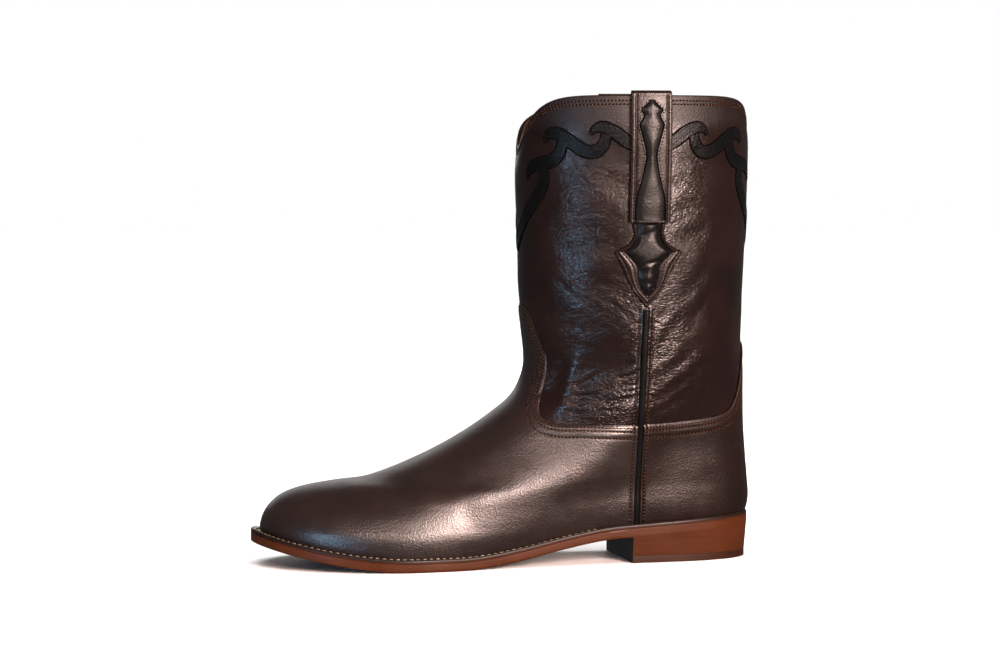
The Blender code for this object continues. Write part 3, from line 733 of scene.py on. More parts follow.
def noise(tree, place, scale, detail, twist=0.0):
    """Cloudy noise, with a number of lumps to the metre."""
    return add_node(
        tree, "ShaderNodeTexNoise", Vector=place, Scale=scale, Detail=detail, Distortion=twist
    ).outputs["Fac"]


def ramp(tree, value, *stops):
    """Colours at places along a value."""
    made = add_node(tree, "ShaderNodeValToRGB", Fac=value)
    for element, (place, colour) in zip(made.color_ramp.elements, stops):
        element.position = place
        element.color = (*colour, 1.0)
    return made.outputs["Color"]


def spread(tree, value, low, high, **limits):
    """A value from 0 to 1 spread between two limits."""
    made = add_node(tree, "ShaderNodeMapRange", Value=value, To_Min=low, To_Max=high, **limits)
    return made.outputs["Result"]


def combine(tree, operation, *values):
    """Values worked together, as links or numbers."""
    made = add_node(tree, "ShaderNodeMath", {"operation": operation})
    for socket, value in zip(made.inputs, values):
        if isinstance(value, bpy.types.NodeSocket):
            tree.links.new(value, socket)
        else:
            socket.default_value = value
    return made.outputs["Value"]


def bump(tree, height, deep, under=None, share=1.0):
    """Relief of a depth in millimetres, over the relief under it, by a share."""
    made = add_node(tree, "ShaderNodeBump", Height=height, Distance=deep * MM, Strength=share)
    if under is not None:
        tree.links.new(under, made.inputs["Normal"])
    return made.outputs["Normal"]


def kept_share(tree, name):
    """The share that a piece keeps for each of its points."""
    return add_node(tree, "ShaderNodeAttribute", {"attribute_name": name}).outputs["Fac"]


def worn_share(tree, mark):
    """Share of a mark: even in the core of its oval, fading to 0 at the rim."""
    coords = add_node(tree, "ShaderNodeTexCoord")
    place = add_node(
        tree, "ShaderNodeMapping", {"vector_type": "TEXTURE"}, Vector=coords.outputs["Object"],
        Location=Vector(mark.middle) * MM, Scale=Vector(mark.half) * MM,
    )
    size = add_node(tree, "ShaderNodeVectorMath", {"operation": "LENGTH"})
    tree.links.new(place.outputs["Vector"], size.inputs[0])
    return spread(tree, size.outputs["Value"], MARK_SHARE, 0.0, From_Min=MARK_CORE)


def blend(tree, share, under, over):
    """One colour laid over another by a share."""
    made = add_node(tree, "ShaderNodeMix", {"data_type": "RGBA"})
    tree.links.new(share, made.inputs[0])
    tree.links.new(under, made.inputs[6])
    made.inputs[7].default_value = (*over, 1.0)
    return made.outputs[2]


def leather_finish(name, dark, light, rough, grain, wrinkle, gloss, creased=False, marks=()):
    """Grained leather: uneven dye, soft wrinkles, fine cells and a finer pebble."""
    finish, tree, shader = new_finish(name, dark, rough, gloss)
    place = object_place(tree)
    lying = object_place(tree, (0.72, 0.72, 1.3))
    colour = ramp(tree, noise(tree, place, 38.0, 5.0), (0.3, dark), (0.72, light))
    dull = spread(tree, noise(tree, place, 95.0, 3.0), rough - 0.08, rough + 0.10)
    for mark in marks:
        colour = blend(tree, worn_share(tree, mark), colour, mark.colour)
        dull = combine(tree, "MULTIPLY_ADD", worn_share(tree, mark), mark.duller, dull)
    tree.links.new(colour, shader.inputs["Base Color"])
    tree.links.new(dull, shader.inputs["Roughness"])
    cells = add_node(
        tree, "ShaderNodeTexVoronoi", {"feature": "DISTANCE_TO_EDGE"}, Vector=lying, Scale=500.0
    )
    lines = add_node(
        tree, "ShaderNodeMapRange", {"interpolation_type": "SMOOTHSTEP"},
        Value=cells.outputs["Distance"], From_Max=0.22,
    )
    pebble = add_node(tree, "ShaderNodeTexVoronoi", Vector=place, Scale=900.0)
    share = kept_share(tree, "wrinkled") if creased else 1.0
    relief = None
    for height, deep, strength in (
        (noise(tree, lying, 185.0, 2.0, 0.15), wrinkle * 1.3, share),
        (noise(tree, lying, 470.0, 2.0, 0.25), wrinkle * 0.75, share),
        (lines.outputs["Result"], wrinkle * 0.28, share),
        (pebble.outputs["Distance"], grain, 1.0),
        (noise(tree, place, 1900.0, 2.0), grain * 0.5, 1.0),
    ):
        relief = bump(tree, height, deep, relief, strength)
    tree.links.new(relief, shader.inputs["Normal"])
    return finish


def sole_finish(name, dark, light, rough, lines, shade=None):
    """Dressed edge of stacked leather: level fibres and a waxed shine, dark by a share."""
    finish, tree, shader = new_finish(name, dark, rough, 0.2)
    grain = noise(tree, object_place(tree, (0.06, 0.06, 1.6)), lines, 4.0)
    cloud = noise(tree, object_place(tree), 55.0, 4.0)
    tone = combine(tree, "ADD", spread(tree, grain, 0.0, 0.6), spread(tree, cloud, 0.0, 0.45))
    colour = ramp(tree, tone, (0.3, dark), (0.75, light))
    if shade:
        colour = blend(tree, kept_share(tree, "darkened"), colour, shade)
    tree.links.new(colour, shader.inputs["Base Color"])
    dull = spread(tree, cloud, rough - 0.08, rough + 0.12)
    tree.links.new(dull, shader.inputs["Roughness"])
    tree.links.new(bump(tree, grain, 0.03), shader.inputs["Normal"])
    return finish


def thread_finish(name, dark, light, gloss=0.2):
    """Waxed thread with a twist."""
    finish, tree, shader = new_finish(name, dark, 0.55, gloss)
    twist = noise(tree, object_place(tree), 700.0, 2.0)
    colour = ramp(tree, twist, (0.35, dark), (0.7, light))
    tree.links.new(colour, shader.inputs["Base Color"])
    return finish


BROWN = leather_finish(
    "brown_leather", (0.0044, 0.0019, 0.0014), (0.0088, 0.0038, 0.0028), 0.225, 0.08, 0.31, 0.42,
    creased=True, marks=(COLLAR_BAND,),
)
VAMP_BROWN = leather_finish(
    "vamp_leather", (0.0068, 0.0028, 0.0018), (0.0120, 0.0050, 0.0033), 0.33, 0.085, 0.035, 0.88,
    marks=(VAMP_SCAR,),
)
COUNTER_BROWN = leather_finish(
    "counter_leather", (0.0060, 0.0025, 0.0016), (0.0108, 0.0045, 0.0030), 0.31, 0.085, 0.035,
    0.5, marks=(COUNTER_SCRATCH,),
)
STRAP_BROWN = leather_finish(
    "strap_leather", (0.0056, 0.0022, 0.0015), (0.0100, 0.0040, 0.0027), 0.26, 0.05, 0.05, 0.22
)
BLACK = leather_finish(
    "black_leather", (0.0022, 0.0020, 0.0020), (0.0050, 0.0044, 0.0042), 0.28, 0.05, 0.05, 0.20
)
SCROLL_BLACK = leather_finish(
    "scroll_leather", (0.0010, 0.0012, 0.0014), (0.0026, 0.0028, 0.0030), 0.27, 0.12, 0.12, 0.16
)
# Near black and without sheen: partly the leg's dark cut edge, partly painted shade in grooves and
# recesses
DARK_EDGE_AND_GROOVE_SHADE = leather_finish(
    "dark_edge_and_groove_shade", (0.0006, 0.0005, 0.0005), (0.0016, 0.0012, 0.0011), 0.7, 0.03, 0.02, 0.0
)
CUT_EDGE = leather_finish(
    "cut_edge", (0.0100, 0.0052, 0.0036), (0.0200, 0.0100, 0.0062), 0.6, 0.05, 0.03, 0.0
)
LINING = leather_finish(
    "lining_leather", (0.058, 0.030, 0.017), (0.095, 0.052, 0.030), 0.6, 0.03, 0.04, 0.3
)
TAN = (0.037, 0.0083, 0.0015), (0.062, 0.0153, 0.0031)
SOLE_TAN = sole_finish("sole_leather", *TAN, 0.36, 900.0)
STACK_TAN = sole_finish(
    "stack_leather", (0.035, 0.0083, 0.0016), (0.060, 0.0150, 0.0032), 0.36, 700.0
)
WELT_DARK = sole_finish(
    "welt_leather", (0.0055, 0.0035, 0.0028), (0.018, 0.0095, 0.0065), 0.5, 900.0
)
# Edge darkened by a share: dark dressing near the toe, dressing and painted shade along the upper
# edge
WELT_EDGE = sole_finish("welt_edge", *TAN, 0.36, 900.0, (0.0095, 0.0048, 0.0030))
# The heel's cap in its own brown, a little darker than the stack, darkened further all over as
# painted shade near the floor
CAP_BROWN_AND_SHADE = sole_finish(
    "heel_rubber", (0.018, 0.0056, 0.0020), (0.034, 0.0100, 0.0034), 0.45, 300.0
)
BREAST_DARK = sole_finish(
    "breast_dark", (0.006, 0.0045, 0.004), (0.014, 0.0095, 0.0075), 0.35, 400.0
)
RUST_THREAD = thread_finish("rust_thread", (0.034, 0.012, 0.0045), (0.105, 0.040, 0.013))
BLACK_THREAD = thread_finish(
    "black_thread", (0.0015, 0.0014, 0.0014), (0.005, 0.0044, 0.004), 0.08
)
# Near-black grains at the needle holes: painted shade of the holes
NEEDLE_HOLE_SHADE = thread_finish(
    "needle_hole_shade", (0.0010, 0.0007, 0.0006), (0.0026, 0.0018, 0.0014), 0.02
)
PALE_THREAD = thread_finish("pale_thread", (0.13, 0.092, 0.060), (0.36, 0.28, 0.20))


# Upper
def crease_depth(out, z):
    """Soft troughs with a low ridge along one flank, from the table of creases."""
    depth = np.zeros(out.shape)
    for crease in LEG_CREASES:
        lean = math.radians(crease.lean)
        across_out, across_z = out - crease.out, z - crease.z
        along = across_out * math.cos(lean) + across_z * math.sin(lean)
        across = across_z * math.cos(lean) - across_out * math.sin(lean)
        across = across + 0.06 * crease.reach * np.sin(2.4 * along / crease.reach)
        fade = np.exp(-((along / crease.reach) ** 2) * 1.6)
        trough = hump(across, crease.wide)
        ridge = hump(across - 1.9 * crease.wide, crease.wide)
        depth += CREASE_DEEPER * crease.deep * fade * (0.6 * ridge - trough)
    return depth


def seam_folds(out, z, side):
    """Short level folds that the side seam's sewing draws into the leg."""
    place = np.stack([0.25 * out, out * 0 + 9 * side, z], axis=-1)
    sway = lumps(place, 8.0)
    wave = np.sin(2 * math.pi * (z + 0.22 * np.abs(out) + 2.6 * sway) / SEAM_FOLD_STEP)
    wave *= np.clip(0.55 + 0.9 * lumps(place + 50, 7.0), 0, 1.2)
    reach = 14 + 8 * lumps(np.stack([out * 0 + 5 * side, z * 0, z], axis=-1), 5.0)
    near = hump(np.abs(out), reach) * np.clip(np.abs(out) / 4, 0, 1)
    low = np.clip((SEAM_FOLD_TOP - z) / 12, 0, 1) * ramp_up(z, SEAM_FOLD_FOOT, 6)
    return SEAM_FOLD_DEEP * wave * near * low


def seam_roll(out):
    """Leather rolled up against the piping and drawn down along its stitches."""
    away = np.abs(out)
    return 0.42 * hump(away - 2.7, 1.0) - 0.26 * hump(away - SEAM_ROW, 0.8)


def wrinkled_share(out, z):
    """How wrinkled the leg is at a place, from smooth to 1."""
    share = np.zeros(out.shape)
    for spot in WRINKLED:
        away = ((out - spot.out) / spot.wide) ** 2 + ((z - spot.z) / spot.high) ** 2
        share = np.maximum(share, spot.share * np.exp(-away))
    return SMOOTH_SHARE + (1 - SMOOTH_SHARE) * share


def overlay_edge(turn):
    """Height of the overlays' upper edge round the boot."""
    degrees = 180 - np.abs(180 - 360 * turn)
    front, back = (
        np.interp(degrees, *np.array(edge, float).T) for edge in (VAMP_EDGE, COUNTER_EDGE)
    )
    return np.where(degrees > 86, front, back)


def leg_relief(turn, level):
    """Height of the leg's creases, seam folds and soft lumps, on either side."""
    turn, level = np.broadcast_arrays(np.mod(turn, 1.0), np.asarray(level, float))
    points = last_point(turn, level)
    z = points[..., 2]
    out, side = out_from_own_seam(turn, level)
    relief = crease_depth(out, z) + seam_folds(out, z, side)
    share = wrinkled_share(out, z)
    for lump in LEG_LUMPS:
        deep = lump.deep * share if lump.wrinkled else lump.deep
        relief = relief + deep * lumps(points * (1, 1, lump.flatter), lump.size)
    above = np.clip((z - overlay_edge(turn) + 1) / 9, 0, 1)
    below = np.clip((collar_height(turn) - z - 4) / 10, 0, 1)
    bridged = np.exp(-((out / 17) ** 4))
    flat = 1 - 0.85 * bridged * ramp_up(z, 152, 10)
    roll = seam_roll(out) * np.clip((SPADE_TIP + 1 - z) / 4, 0, 1)
    return relief * above * below * flat + roll


def seam_dense_turns(count):
    """Turns once round, closer together beside the two side seams."""
    fine = np.linspace(0, 1, 4001)
    seam = float(seam_turn(np.array(0.75), 1))
    crowd = np.ones(len(fine))
    for place in (seam, 1 - seam):
        crowd += 2.6 * hump(fine - place, 0.022)
    total = np.insert(np.cumsum((crowd[1:] + crowd[:-1]) / 2), 0, 0)
    return np.interp(np.linspace(0, total[-1], count), total, fine)


def make_upper():
    """Lasted wall of the leg and foot, open at the collar and underneath, with its lining."""
    low = np.linspace(0, 0.5, 30)
    leg = np.linspace(0.5, 1, 181)[1:]
    rim = np.linspace(0, math.pi, 8)[1:-1]
    levels = np.concatenate([low, leg, np.ones(len(rim)), np.linspace(1, 0, 30), [0.0]])
    outside = len(low) + len(leg)
    inside = outside + len(rim)
    heights, lift = np.zeros(len(levels)), np.zeros(len(levels))
    heights[outside:inside] = (np.cos(rim) - 1) * WALL / 2
    heights[inside:-1] = -WALL
    lift[outside:inside] = np.sin(rim) * WALL / 2
    piece, across = cut_grid("upper", 380, len(levels) - 1)
    turn, level = np.meshgrid(seam_dense_turns(len(across)), levels)
    relief = leg_relief(turn, level)
    relief[outside:] = 0
    points = skin(turn, level, heights[:, None] + relief)
    points[..., 2] += lift[:, None]
    lay(piece, points)
    out, _ = out_from_own_seam(turn, level)
    keep_share(piece, "wrinkled", wrinkled_share(out, last_point(turn, level)[..., 2]))
    dress(piece, BROWN, LINING, CUT_EDGE)
    row = np.arange(len(levels) - 1)
    finish = np.where(row >= inside, 1, np.where(row >= outside, 2, 0))
    keep_finish(piece, np.repeat(finish, len(across) - 1))
    work_on(piece, merge, turn_out)
    finish_piece(piece, "brown_leather", "upper", angle=60)


# Overlays
def seam_border(side, out):
    """Turn by level of a line beside the seam."""
    levels = np.linspace(0, 1, 61)
    turns = turn_from_seam(levels, np.full(61, out), side)
    return lambda level: np.interp(level, levels, turns)


def overlay_field(edge, middle, out, columns, across, rows):
    """Turns and levels of a sheet from seam to seam, over the toe or round the heel."""
    knots, heights = np.array(edge, float).T
    spacing = np.abs(np.array(columns, float) - columns[0 if middle else -1])
    spacing = np.sort(spacing / spacing.max())
    share = np.interp(np.linspace(0, len(spacing) - 1, across), np.arange(len(spacing)), spacing)
    grids = []
    for side in (1, -1):
        border = seam_border(side, out)
        centre = middle if side > 0 else 1 - middle
        top = np.full(across, 0.6)
        for _ in range(12):
            turn = border(top) + share * (centre - border(top))
            degrees = 360 * (turn if side > 0 else 1 - turn)
            top = level_at(turn, through(knots, heights, degrees))
        low = level_at(turn, last_point(turn, 0.0)[..., 2] + 2 * GAP)
        level = low + (top - low) * rows[:, None]
        grids.append((border(level) + share * (centre - border(level)), level))
    (outer_turn, outer_level), (inner_turn, inner_level) = grids
    if middle == 0:
        inner_turn = inner_turn - 1
    turn = np.concatenate([outer_turn, inner_turn[:, -2::-1]], axis=1)
    return turn, np.concatenate([outer_level, inner_level[:, -2::-1]], axis=1)


def edge_distance(points, line):
    """Distance of each point from a line of points, row by row."""
    return np.stack([
        np.linalg.norm(row[:, None, :] - line[None, :, :], axis=2).min(axis=1) for row in points
    ])


def sewn_edge(distance):
    """Relief beside a sewn edge: skived rim, rows drawn down, the cord between raised."""
    skive = -0.75 * hump(distance, 1.3) - 0.30 * hump(distance, 0.4)
    rows = sum(-0.16 * hump(distance - row, 0.75) for row in EDGE_ROWS)
    return skive + rows + 0.14 * hump(distance - EDGE_CORD, 1.5)


def overlay_rise(base):
    """Height of an overlay's face over the last, thinner over the toe and at the tongue."""
    forward, z = HEEL_BACK - base[..., 0], base[..., 2]
    toe = ramp_up(forward, 130, 60) * ramp_up(z, 22, 14)
    tongue = ramp_up(forward, 118, 14) * ramp_up(z, 84, 20)
    return OVERLAY_GAP + OVERLAY - THINNED * np.maximum(toe, tongue)


def overlay_height(turn, level, soft):
    """Height of an overlay's face over the last, with its sewn edge and its seams."""
    base = last_point(turn, level)
    z = base[..., 2]
    relief = sewn_edge(edge_distance(base, base[-1]))
    relief += soft * (0.14 * lumps(base, 26.0) + 0.06 * lumps(base * (1, 1, 1.5), 9.0))
    flex = HEEL_BACK - base[..., 0] - FLEX_PLACE - 0.25 * (z - FLEX_HIGH)
    relief -= 0.28 * np.exp(-((flex / 5.0) ** 2) - ((z - FLEX_HIGH) / 14) ** 2)
    return np.maximum(overlay_rise(base) + relief, LEAST_RISE) + leg_relief(turn, level)


def make_overlay(name, finish, edge, middle, out, columns, across, rows, crowd, soft):
    """Vamp or counter, with its upper edge given back for sewing."""
    rows = 1 - (1 - np.linspace(0, 1, rows)) ** crowd
    turn, level = overlay_field(edge, middle, out, columns, across, rows)
    piece, _ = cut_grid(name, turn.shape[1] - 1, turn.shape[0] - 1)
    dress(piece, finish, CUT_EDGE)
    points = skin(turn, level, overlay_height(turn, level, soft))
    lay_sheet(piece, points, turn, level, OVERLAY + OVERLAY_GAP)
    finish_piece(piece, "brown_leather", name, angle=50)
    return turn[-1], level[-1]


# Pieces of the leg
def make_piping(side, word):
    """Round bead over the side seam, from the welt to the spade's tip."""
    name = "side_piping_" + word
    low = last_point(seam_turn(0.0, side), 0.0)[2] + WELT + 2 * GAP
    z = np.linspace(low, SPADE_TIP - 1.0, 150)
    level = np.full(len(z), 0.5)
    for _ in range(8):
        level = level_at(seam_turn(level, side), z)
    angles = np.linspace(0, 2 * math.pi, 25)
    piece, _ = cut_grid(name, 24, len(z) - 1)
    out = PIPE_HALF * np.cos(angles)
    high = GAP + np.where(angles <= math.pi, PIPE_HIGH, 0.0) * np.abs(np.sin(angles)) ** 0.8
    level = np.repeat(level[:, None], len(angles), axis=1)
    turn = turn_from_seam(level, np.broadcast_to(out, level.shape), side)
    ripple = 0.10 * lumps(last_point(turn, level), 6.0)
    lay(piece, skin(turn, level, high + ripple * (high > GAP + 0.5)))
    dress(piece, BLACK)
    work_on(piece, merge, turn_out, fill_ends, turn_out)
    finish_piece(piece, "black_leather", name)


def make_strap(side, word):
    """Pull strap folded over the collar, with an outer and an inner leaf."""
    name = "pull_strap_" + word
    mid_out = STRAP_LIFT + STRAP_THICK / 2
    mid_in = -WALL - GAP - STRAP_THICK / 2
    centre, reach = (mid_out + mid_in) / 2, (mid_out - mid_in) / 2
    path = [(mid_out, z) for z in np.linspace(STRAP_LOW, STRAP_BASE, 90)]
    for angle in np.radians(np.linspace(0, 180, 16)[1:-1]):
        over = STRAP_BASE + (STRAP_RISE + STRAP_THICK / 2) * math.sin(angle)
        path.append((centre + reach * math.cos(angle), over))
    path += [(mid_in, z) for z in np.linspace(STRAP_BASE, STRAP_LOW, 40)]
    height, z = np.array(path).T[..., None]
    piece, across = cut_grid(name, 44, len(path) - 1)
    outs = (2 * across - 1) * STRAP_HALF
    near = np.minimum(STRAP_HALF - np.abs(outs), 6.0)
    outer = (height > 0) & (z < STRAP_BASE)
    roll = 0.28 * hump(near - 1.0, 0.8) - 0.30 * hump(near - 2.4, 0.6)
    lay(piece, wrapped(outs, z, height + roll * outer, side))
    dress(piece, STRAP_BROWN, CUT_EDGE)
    thicken(piece, STRAP_THICK, 0.0)
    work_on(piece, merge, turn_out)
    finish_piece(piece, "brown_leather", name, angle=50)


def pin_half(z):
    """Half width of the strap's figure at a height: smooth below, an arrow head on top."""
    heights, halves = np.array(STRAP_PIN, float).T
    body = through(heights[:7], halves[:7], z)
    return np.where(z < heights[6], body, np.interp(z, heights[6:], halves[6:]))


def make_pin(side, word):
    """Padded black figure on the strap's outer leaf."""
    name = "strap_inlay_" + word
    z = np.linspace(STRAP_PIN[0].z, STRAP_PIN[-1].z, 150)[:, None]
    piece, across = cut_grid(name, 32, len(z) - 1)
    last = len(across) - 1
    half = pin_half(z)
    border = np.minimum(PIN_GROOVE, 0.35 * half)
    steps = np.arange(len(across))
    left = border * steps / PIN_BORDER
    inner = (steps - PIN_BORDER) / (last - 2 * PIN_BORDER)
    middle = border + 2 * (half - border) * inner
    right = 2 * half - border * (last - steps) / PIN_BORDER
    outs = np.where(steps < PIN_BORDER, left, np.where(inner > 1, right, middle)) - half
    near = half - np.abs(outs)
    puff = 1 - np.exp(-((np.maximum(near - border, 0) / 2.0) ** 1.3))
    groove = np.clip(1 - np.abs(near / border - 0.5) * 2, 0, 1)
    folds = 0.05 * np.sin(z * 0.5) * np.clip(near / 4, 0, 1)
    height = STRAP_FACE + GAP - 0.1 + 0.8 * puff - 0.25 * groove + folds
    # The groove's faces take the near-black finish: painted shade in the groove
    dress(piece, BLACK, DARK_EDGE_AND_GROOVE_SHADE)
    edge = (steps[:-1] < PIN_BORDER) | (steps[:-1] >= last - PIN_BORDER)
    keep_finish(piece, np.tile(edge, len(z) - 1))
    spot = leg_spot(outs, z, side)
    lay_sheet(piece, wrapped(outs, z, height, side), *spot, INLAY_THICK)
    finish_piece(piece, "black_leather", name, angle=60)


def spade_half(z, column):
    """Half width of the spade at a height, for its rim or its middle, sharp at its corner."""
    rows = np.array(SPADE, float)[::-1]
    low, high = rows[:5], rows[4:]
    below = through(low[:, 0], low[:, column], z)
    above = through(high[:, 0], high[:, column], z)
    return np.where(z < rows[4, 0], below, above)


def spade_outline():
    """Rim and middle of the spade as pairs of points, down one side and up the other."""
    z = np.concatenate([
        np.linspace(SPADE[0].z, SPADE[3].z, 40),
        np.linspace(SPADE[3].z, SPADE[-1].z, 60)[1:],
    ])
    left = np.stack([-spade_half(z, 1), z, -spade_half(z, 2), z], axis=1)
    tip = np.array([0.0, SPADE_TIP, 0.0, SPADE[-1].z])
    run = left[-1] + np.linspace(0, 1, 12)[1:, None] * (tip - left[-1])
    left = np.concatenate([left, run])
    return np.concatenate([left, left[-2::-1] * (-1, 1, -1, 1)])


def under_strap(z, reach):
    """Share of a spade's height, going down to 0 where it is tucked under the strap."""
    return np.clip((STRAP_LOW + 0.4 - z) / reach, 0, 1)


def make_spade_rim(side, word):
    """Stitched rim of the spade under a strap."""
    name = "spade_rim_" + word
    outline = spade_outline()
    piece, across = cut_grid(name, 14, len(outline) - 1)
    rim_out, rim_z, in_out, in_z = outline.T[..., None]
    out = rim_out + (in_out - rim_out) * across
    z = rim_z + (in_z - rim_z) * across
    near = np.minimum(across, 1 - across)
    relief = 0.5 * np.clip(near / 0.14, 0, 1) - 0.2 * hump(near - SPADE_ROWS[0], 0.08)
    relief += 0.2 * hump(across - 0.5, 0.16)
    height = 0.2 + (GAP + OVERLAY - 0.65 + relief) * under_strap(z, 1.6)
    dress(piece, STRAP_BROWN, CUT_EDGE)
    spot = leg_spot(out, z, side)
    lay_sheet(piece, wrapped(out, z, height, side), *spot, OVERLAY + GAP)
    finish_piece(piece, "brown_leather", name, angle=50)


def make_spade_inlay(side, word):
    """Padded black middle of the spade, with soft folds across it."""
    name = "spade_inlay_" + word
    z = np.linspace(SPADE[0].z, SPADE[-1].z + 2 * GAP, 90)[:, None]
    piece, across = cut_grid(name, 36, len(z) - 1)
    half = np.maximum(spade_half(z, 2) - GAP, 0.1)
    outs = (2 * across - 1) * half
    near = half - np.abs(outs)
    puff = 1 - np.exp(-((near / 2.6) ** 1.4))
    sway = z + 0.5 * np.sin(0.5 * outs + 0.9 * z) - 0.012 * outs ** 2
    fold = sum(each.deep * hump(sway - each.z, each.wide) for each in SPADE_FOLDS)
    fold = fold * np.clip(near / 3, 0, 1) * (0.75 + 0.4 * np.sin(0.45 * outs + 0.6 * z))
    height = 0.5 + (2.2 * puff - fold) * under_strap(z, 2.4)
    dress(piece, BLACK, CUT_EDGE)
    spot = leg_spot(outs, z, side)
    lay_sheet(piece, wrapped(outs, z, height, side), *spot, INLAY_THICK)
    finish_piece(piece, "black_leather", name, angle=60)


# Sole, welt and heel
def make_outsole():
    """Leather outsole with a dressed edge, closed along its middle line."""
    piece, turns = cut_grid("outsole", 400, len(SOLE_PROFILE) - 1)
    forward = HEEL_BACK - sole_edge(turns)[:, 0]
    eased = 0.15 + 0.85 * ramp_up(forward, BREAST_INNER, 12)
    loops = []
    for share, inset, rise in SOLE_PROFILE:
        ring = sole_ring(turns, inset * eased, rise)
        other = sole_ring(1 - turns, inset * eased[::-1], rise)
        loop = ring + share * ((ring + other) / 2 - ring)
        if share:
            loop[:, 2] = sole_under(HEEL_BACK - loop[:, 0]) + rise
        loops.append(loop)
    lay(piece, loops)
    dress(piece, SOLE_TAN)
    work_on(piece, merge, turn_out)
    finish_piece(piece, "sole_leather", "outsole", angle=35)


def make_welt():
    """Welt round the upper, with a groove where its stitches lie; gives the stitches' line."""
    turns = np.linspace(0, 1, 401)
    foot = skin(turns, 0.0, 0.0)[:, 2]
    close = OVERLAY_GAP + OVERLAY + 2 * GAP
    low = OUTSOLE + 0.03
    top = low + WELT
    inner = skin(turns, level_at(turns, foot + WELT), close)
    inner[:, 2] = foot + WELT
    outer = sole_ring(turns, 0.7, OUTSOLE + GAP + WELT)
    loops = [skin(turns, 0.0, close)]
    for inset, height in (
        (0.14, low), (0.04, low + 0.14), (0.0, low + 0.7), (0.0, low + 1.4),
        (0.12, top - 0.35), (0.35, top + 0.05),
    ):
        loops.append(sole_ring(turns, inset, height))
    for share, rise in WELT_TOP:
        loop = outer + share * (inner - outer)
        loop[:, 2] += rise
        loops.append(loop)
    loops += [inner, skin(turns, 0.0, close)]
    piece, _ = cut_grid("welt", 400, len(loops) - 1)
    lay(piece, loops)
    from_toe = np.linalg.norm(sole_edge(turns) - sole_edge(np.array([0.5])), axis=1)
    dark = np.clip((TOE_SHADE - from_toe) / (0.7 * TOE_SHADE), 0, 1)
    # The welt's upper edge is darkened all round: partly its dark dressing, partly painted shade
    # under the upper
    upper_edge_dye_and_shade = np.interp(np.arange(len(loops)), (2, 4), (0, 1))
    keep_share(piece, "darkened", np.maximum(dark, upper_edge_dye_and_shade[:, None]))
    dress(piece, WELT_DARK, WELT_EDGE)
    work_on(piece, merge, turn_out)
    keep_finish(piece, [face.normal.z < 0.55 for face in piece.data.polygons])
    finish_piece(piece, "welt_leather", "welt", angle=35)
    return outer + WELT_ROW * (inner - outer)


def heel_outline(inset, z):
    """Loop round the heel and across its breast; z None follows the sole."""
    outer, inner = breast_turn(1), breast_turn(-1)
    turns = np.concatenate([np.linspace(outer, 0, 61), 1 - np.linspace(0, inner, 61)[1:]])
    ring = sole_ring(turns, inset, 0.0)
    share = np.linspace(0, 1, 25)[1:, None]
    loop = np.concatenate([ring, ring[-1] + share * (ring[0] - ring[-1])])
    loop[:, 2] = sole_under(HEEL_BACK - loop[:, 0]) if z is None else z
    return loop


def heel_wall(name, loops, finish, slot):
    """A heel piece from its loops, closed above and below, with a dark breast."""
    piece, _ = cut_grid(name, len(loops[0]) - 1, len(loops) - 1)
    lay(piece, loops)
    dress(piece, finish, BREAST_DARK)
    work_on(piece, merge, fill_ends, turn_out)
    keep_finish(piece, [face.normal.x < -0.7 for face in piece.data.polygons])
    finish_piece(piece, slot, name, angle=30)


def make_heel():
    """Heel stack of leather lifts with its slanting top, and the cap on the floor."""
    low, top = heel_outline(HEEL_TAPER, CAP), heel_outline(0.15, None)
    loops = []
    for share in np.linspace(0, 1, 49):
        loop = low + share * (top - low)
        joint = min(abs(share - place) for place in LIFT_JOINTS)
        inward = loop[:, :2].mean(axis=0) - loop[:, :2]
        loop[:, :2] += inward * 0.0012 * math.exp(-((joint / 0.014) ** 2))
        loops.append(loop)
    heel_wall("heel_stack", loops, STACK_TAN, "sole_leather")
    loops = [heel_outline(HEEL_TAPER + inset, z) for inset, z in CAP_PROFILE]
    heel_wall("heel_cap", loops, CAP_BROWN_AND_SHADE, "heel_rubber")


# Collar scroll
def flat_stroke(stroke, hand, name, wider, low, high):
    """One tapering stroke of the wave, laid flat in the bench's own plane."""
    rows = through(np.arange(len(stroke)), stroke, np.linspace(0, len(stroke) - 1, 30))
    path = unit(np.gradient(rows[:, :2], axis=0))
    halves = np.maximum(rows[:, 2:], 0.25) + wider
    sides = np.stack([-path[:, 1], path[:, 0]], axis=1) * halves
    piece, across = cut_grid(name, 4, len(rows) - 1)
    spots = rows[:, None, :2] + (2 * across - 1)[None, :, None] * sides[:, None, :]
    spots[..., 0] = hand * (SCROLL_CENTRE - spots[..., 0])
    flat = np.concatenate([spots, np.full((*spots.shape[:2], 1), low)], axis=2)
    put_points(piece, flat * MM)
    rise = {"value": (0, 0, (high - low) * MM)}
    raise_up = lambda: bpy.ops.mesh.extrude_region_move(TRANSFORM_OT_translate=rise)
    work_on(piece, turn_out, raise_up, turn_out)
    return piece


def outline_loops(piece):
    """Outlines of a flat piece's top, as loops of points in millimetres."""
    mesh = piece.data
    count = {}
    for face in mesh.polygons:
        if face.normal.z > 0.9:
            for key in face.edge_keys:
                count[key] = count.get(key, 0) + 1
    after = {}
    for a, b in (key for key, uses in count.items() if uses == 1):
        after.setdefault(a, []).append(b)
        after.setdefault(b, []).append(a)
    loops = []
    left = set(after)
    while left:
        start = left.pop()
        loop, here, before = [start], after[start][0], start
        while here != start and here in left:
            left.discard(here)
            loop.append(here)
            nexts = [spot for spot in after[here] if spot != before]
            before, here = here, nexts[0] if nexts else start
        loops.append(np.array([mesh.vertices[k].co for k in loop]) / MM)
    return [loop for loop in loops if len(loop) > 8]


